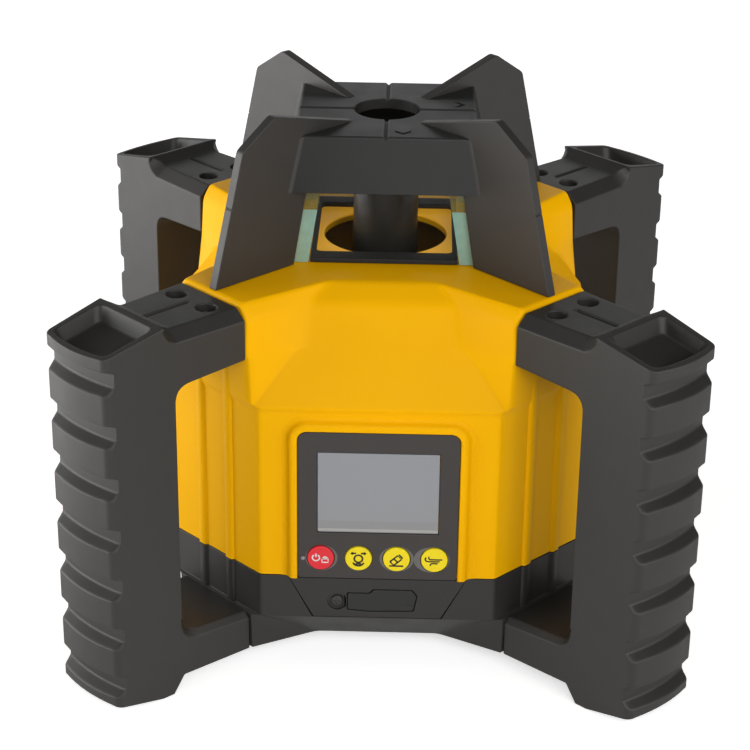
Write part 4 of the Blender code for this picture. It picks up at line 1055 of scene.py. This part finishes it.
def lantern_pane(side, degrees, foot, thick, overlap, look):
    """A leaning pane drawn on the front, shorter at each end by the overlap, and turned to its side."""
    rows = []
    for height in (foot, PANE_TOP):
        half = PANE_HALF - PANE_LEAN * (height - PANE_LOW) / (PANE_TOP - PANE_LOW)
        ends = box_outline((overlap - half, -half), (half - overlap, thick - half))
        rows.append([turned_to((x, y, height), degrees) for x, y in ends])
    pane = round_edges(Form().sheet(rows).piece("lantern_pane_" + side), 0.4, 30, 2)
    dress(pane, "housing", "glass", "pane_" + side, look=look)


for side, degrees in (("left", 270), ("right", 90)):
    lantern_pane(side, degrees, PANE_LOW, 6.0, 0.0, "side_glass")
for side, degrees in (("front", 0), ("back", 180)):
    lantern_pane(side, degrees, PANE_LOW + 2.3, 3.6, 6.3, "glass")


def gasket_ring(half_x, half_y, height, corner):
    outline = box_outline((-half_x, -half_y), (half_x, half_y))
    return softened([(x, y, height) for x, y in outline], corner, 6)


gasket_rows = [gasket_ring(30.3, 36.6, GASKET_LOW, 0.6), gasket_ring(30.3, 36.6, GASKET_TOP, 0.6),
               gasket_ring(28.2, 28.2, GASKET_TOP, 3.0), gasket_ring(28.2, 28.2, GASKET_LOW, 3.0)]
gasket = Form().sheet(soft_rows(gasket_rows, (0.3, 0.8, 0.8, 0.3)), ring=True).piece("floor_gasket")
even_normals(dress(gasket, "housing", "rubber", "window_gasket"))

# %% Turning head
HEAD_LOW, HEAD_HIGH, HEAD_RADIUS, HEAD_WALL, HEAD_PLATE = 147.0, 197.0, 13.7, 2, 3
HEAD_BORE, HEAD_EYE = 5.5, 8.0


def hollow_turned(profile, sides):
    """A hollow solid of revolution about Z, from a closed profile of (radius, height)."""
    return Form().sheet([[(x, y, h) for x, y in circle(r, sides)] for r, h in profile], ring=True)


head_inside = HEAD_RADIUS - HEAD_WALL
head_profile = softened([(HEAD_BORE, HEAD_LOW), (HEAD_RADIUS, HEAD_LOW), (HEAD_RADIUS, HEAD_HIGH),
                         (HEAD_EYE, HEAD_HIGH), (HEAD_EYE, HEAD_HIGH - HEAD_PLATE),
                         (head_inside, HEAD_HIGH - HEAD_PLATE), (head_inside, HEAD_LOW + HEAD_PLATE),
                         (HEAD_BORE, HEAD_LOW + HEAD_PLATE)], [0.2, 0.6, 0.9, 0.3, 0.3, 0.3, 0.3, 0.2], 3)
head = hollow_turned(head_profile, 96).piece("turning_head")
carve(head, slab(softened(box_outline((-6.5, 168), (6.5, 184)), 1.5), 9, 16))
even_normals(dress(head, "head", "black_plastic", "rotor_head"))

# %% [markdown]
# ## Control panel
# The panel is a flat plate with a window for the display and four round holes for the keys. The
# keys are shallow moulded buttons with a flat face, and each carries a printed sign. The signs are
# plain ones that any such tool could have: on and off, turning, slope and wind. A sign is drawn as
# strokes in the plane of the key, and each stroke becomes a thin strip that rides with its key.

# %% Panel and display
PANEL_FACE, PANEL_BACK = -89.7, -87.6
FRONT_CUT = (-95, -80)
panel_outline = softened(box_outline((-32.6, 41.3), (32.6, 108)), [1.0, 1.0, 4.2, 4.2], 6)
panel = slab(panel_outline, PANEL_FACE, PANEL_BACK).piece("membrane_panel")
carve(panel, slab(box_outline((-24.8, 62.6), (24.8, 99.2)), *FRONT_CUT))
for x in KEY_X:
    carve(panel, slab(circle(5.8, 56, (x, KEY_Z)), *FRONT_CUT))
tidy_mesh(panel)
dress(round_edges(panel, 0.25, 35, 2), "housing", "panel_plastic", "control_panel")
eye_profile = [(0.0, -89.0), (0.9, -89.0), (0.9, -89.75), (0.7, -89.95), (0.35, -90.05), (0.0, -90.08)]
light_eye = turned(eye_profile, 24, (-30.6, 0.0, 50.4)).piece("light_sensor")
dress(light_eye, "housing", "screen")

# %% Keys and their signs
KEY_FACE, KEY_BACK, KEY_RADIUS = -90.2, -86.6, 5.5
INK_RAISE, INK_ROOT = 0.05, 0.1


def arc(middle, radius, start, end, steps=14):
    angles = [math.radians(start + (end - start) * step / steps) for step in range(steps + 1)]
    return [(middle[0] + radius * math.cos(a), middle[1] + radius * math.sin(a)) for a in angles]


def add_stroke(form, line, width, middle):
    """A strip of a width along a line of (across, up), counted from the key's middle."""
    points = [Vector(point) for point in line]
    left, right = [], []
    for index, point in enumerate(points):
        along = (points[min(index + 1, len(points) - 1)] - points[max(index - 1, 0)]).normalized()
        aside = Vector((-along.y, along.x)) * width / 2
        left.append(point + aside)
        right.append(point - aside)
    for index in range(len(points) - 1):
        quad = [left[index], left[index + 1], right[index + 1], right[index]]
        form.prism([(middle + p.x, KEY_Z + p.y) for p in quad], KEY_FACE - INK_RAISE, KEY_FACE + INK_ROOT,
                   "XZ")


SIGNS = {
    "power": ([arc((-1.9, 0.2), 1.45, 125, 415), [(-1.9, 0.5), (-1.9, 2.1)],
               [(0.55, -0.2), (0.55, -1.9), (3.1, -1.9), (3.1, -0.2), (0.55, -0.2)],
               arc((1.83, -0.2), 0.85, 0, 180)], 0.6),
    "mode": ([arc((0.0, -0.9), 2.3, 200, 340), arc((0.0, 0.1), 1.7, 0, 360, 24), [(-2.9, 2.6), (-1.0, 2.6)],
              [(1.0, 2.6), (2.9, 2.6)], [(2.3, 3.1), (2.9, 2.6), (2.3, 2.1)],
              [(-2.3, 3.1), (-2.9, 2.6), (-2.3, 2.1)], [(-1.2, -2.3), (1.2, -2.3)]], 0.75),
    "speed": ([[(-2.6, -0.9), (0.5, 1.9), (2.1, 0.2), (-1.0, -2.6), (-2.6, -0.9)], [(1.0, 2.4), (2.6, 0.7)],
               [(-2.9, -2.9), (2.9, -2.9)], [(-0.9, 0.3), (0.6, -1.2)]], 0.7),
    "scan": ([[(-1.4, 0.4), (3.2, 0.4)], arc((-1.4, 1.3), 0.9, 150, 270), [(-0.4, -0.5), (2.2, -0.5)],
              arc((-2.6, 0.6), 1.1, 130, 270), [(-2.6, -0.5), (-0.4, -0.5)], [(-0.8, -1.4), (1.4, -1.4)],
              arc((-0.8, -2.2), 0.8, 90, 200)], 0.62),
}
key_profile = softened([(0.0, KEY_FACE), (KEY_RADIUS, KEY_FACE), (KEY_RADIUS, KEY_BACK), (0.0, KEY_BACK)],
                       [0.0, 0.55, 0.2, 0.0], 5, 0, False)
for body, x in zip(SIGNS, KEY_X):
    colour, ink = ("red_key", "white_ink") if body == "power" else ("yellow_key", "black_ink")
    key = turned(key_profile, 64, (x, 0.0, KEY_Z)).piece(body + "_button")
    even_normals(dress(key, body, colour, body + "_key"))
    sign_form = Form()
    strokes, width = SIGNS[body]
    for stroke in strokes:
        add_stroke(sign_form, stroke, width, x)
    dress(sign_form.piece(body + "_sign"), body, colour, look=ink)

# %% [markdown]
# ## Charging port
# Below the panel a plate closes the skirt. A rubber flap lies in a bed in the plate, held by one
# screw, and swings out to show the charging socket. The plate stands a hair proud of the skirt, and
# the bed is a little larger than the flap, so a dark line outlines it.

# %% Plate, flap and screw
PORT_FACE, PORT_CUT = -87.9, -95
SCREW_X, SCREW_Z = -16.6, 29.0
FLAP = [(-12.1, 25.5), (-2.9, 24.7), (15.0, 25.2), (16.4, 32.0), (14.2, 34.8), (-1.4, 34.8), (-2.9, 33.0),
        (-12.1, 33.0)]
plate = slab(PORT_OUTLINE, PORT_FACE, -85.2).piece("port_cover")
carve(plate, slab(softened(grown(FLAP, 0.35), 0.5), PORT_CUT, -86.2))
carve(plate, slab(box_outline((2.4, 26.8), (11.9, 31.6)), *FRONT_CUT))
carve(plate, slab(circle(3.9, 40, (SCREW_X, SCREW_Z)), PORT_CUT, -86.5))
tidy_mesh(plate)
dress(round_edges(plate, 0.3, 35, 2), "housing", "dark_plastic", "port_plate")
flap_form = slab(softened(FLAP, 0.5), PORT_FACE, -86.5)
flap_form.prism(softened(box_outline((3.0, 27.4), (11.0, 31.0)), 0.8), -87.4, -85.3, "XZ")
for rise in (27.2, 29.2, 31.2):
    rib = [(12.6, rise), (14.6, rise), (14.8, rise + 0.8), (12.6, rise + 0.8)]
    flap_form.prism(rib, -88.1, -87.0, "XZ")
flap = round_edges(flap_form.piece("rubber_flap"), 0.3, 30, 2)
dress(flap, "flap", "rubber", "port_flap", look="flap_rubber")
flap_screw = screw_form(2.4, -86.6, -87.4, "Y", (SCREW_X, 0.0, SCREW_Z)).piece("plate_screw")
cross_cut(flap_screw, 1.5, 0.35, -90.0, -87.0, "XZ", (SCREW_X, SCREW_Z))
dress(round_edges(flap_screw, 0.1, 35, 2), "housing", "steel", "flap_screw", look="black_steel")

# %% [markdown]
# ## Battery door and lock
# The picture doesn't show the back, so the door there is a guess at a common pattern: a plate on
# two hinge barrels at its lower edge, with a quarter turn lock at the top. A shallow inset field
# with four ribs keeps the plate from looking like a slab, and the lock is a dial with a grip bar.

# %% Door, lock and pack
DOOR_BACK, DOOR_FACE, LOCK_Z, DOOR_KNUCKLE = 87.6, 90.1, 98.5, (-11.7, 11.7)
door = slab(softened(box_outline((-33.4, 46.2), (33.4, 105.5)), 4.0, 6), DOOR_BACK, DOOR_FACE)
door = door.piece("door_plate")
carve(door, slab(softened(box_outline((-28, 51), (28, 88)), 2.5, 4), 89.5, 95))
carve(door, slab(circle(2.8, 32, (0.0, LOCK_Z)), 80, 100))
tidy_mesh(door)
dress(round_edges(door, 0.4, 35), "door", "yellow_plastic", "battery_door")
rib_form = Form()
for x in (-18, -6, 6, 18):
    rib_form.prism(softened(box_outline((x - 1.5, 55), (x + 1.5, 84)), 1.4, 5), 89.3, 90.05, "XZ")
rib_form.prism(circle(BARREL_RADIUS, 24, (PIN_Y, PIN_Z)), *DOOR_KNUCKLE, "YZ")
rib_form.prism(box_outline((DOOR_BACK, PIN_Z), (DOOR_FACE, 47.2)), *DOOR_KNUCKLE, "YZ")
dress(round_edges(rib_form.piece("door_ribs"), 0.3, 35, 2), "door", "yellow_plastic")
dial_profile = softened([(0.0, 92.4), (7.0, 92.4), (7.0, 90.4), (2.5, 90.4), (2.5, 85.8), (0.0, 85.8)],
                        [0.0, 0.6, 0.2, 0.2, 0.2, 0.0], 4, 0, False)
dial_form = turned(dial_profile, 56, (0.0, 0.0, LOCK_Z))
dial_form.prism(softened(box_outline((-5.5, LOCK_Z - 1.3), (5.5, LOCK_Z + 1.3)), 1.0, 5), 91.4, 94.4, "XZ")
dress(round_edges(dial_form.piece("lock_dial"), 0.35, 40), "lock", "dark_plastic", "battery_lock")
pack = slab(softened(box_outline((-29, 49), (29, 96)), 4.0, 6), 60, 82).piece("cell_pack")
for x in (-14, 0, 14):
    carve(pack, slab(box_outline((x - 0.4, 45), (x + 0.4, 99)), 81.4, 90))
tidy_mesh(pack)
dress(round_edges(pack, 0.8, 30, 3), "housing", "black_plastic", "battery_pack")

# %% [markdown]
# ## Tripod bush
# The brass bush in the floor takes the screw of a tripod head. Its thread is turned as a row of
# ridges two and a third millimetres apart, which is the pitch of that thread.

# %% Bush
THREAD_LOW, THREAD_PITCH, THREAD_ROOT, THREAD_CREST = 4.2, 2.309, 7.9, 7.0
thread = []
for turn_count in range(9):
    low = THREAD_LOW + THREAD_PITCH * turn_count
    thread += [(THREAD_ROOT, low), (THREAD_CREST, low + 1.0), (THREAD_CREST, low + 1.3),
               (THREAD_ROOT, low + 2.3)]
bush_profile = [(8.2, 3.4), (14.0, 3.4), (14.0, 8.0), (20.0, 8.0), (20.0, 12.0), (14.0, 12.0),
                (14.0, 26.0), (8.2, 26.0)]
bush = hollow_turned(bush_profile + thread[::-1], 56).piece("thread_bush")
dress(round_edges(bush, 0.2, 60, 2), "housing", "brass", "tripod_bush")
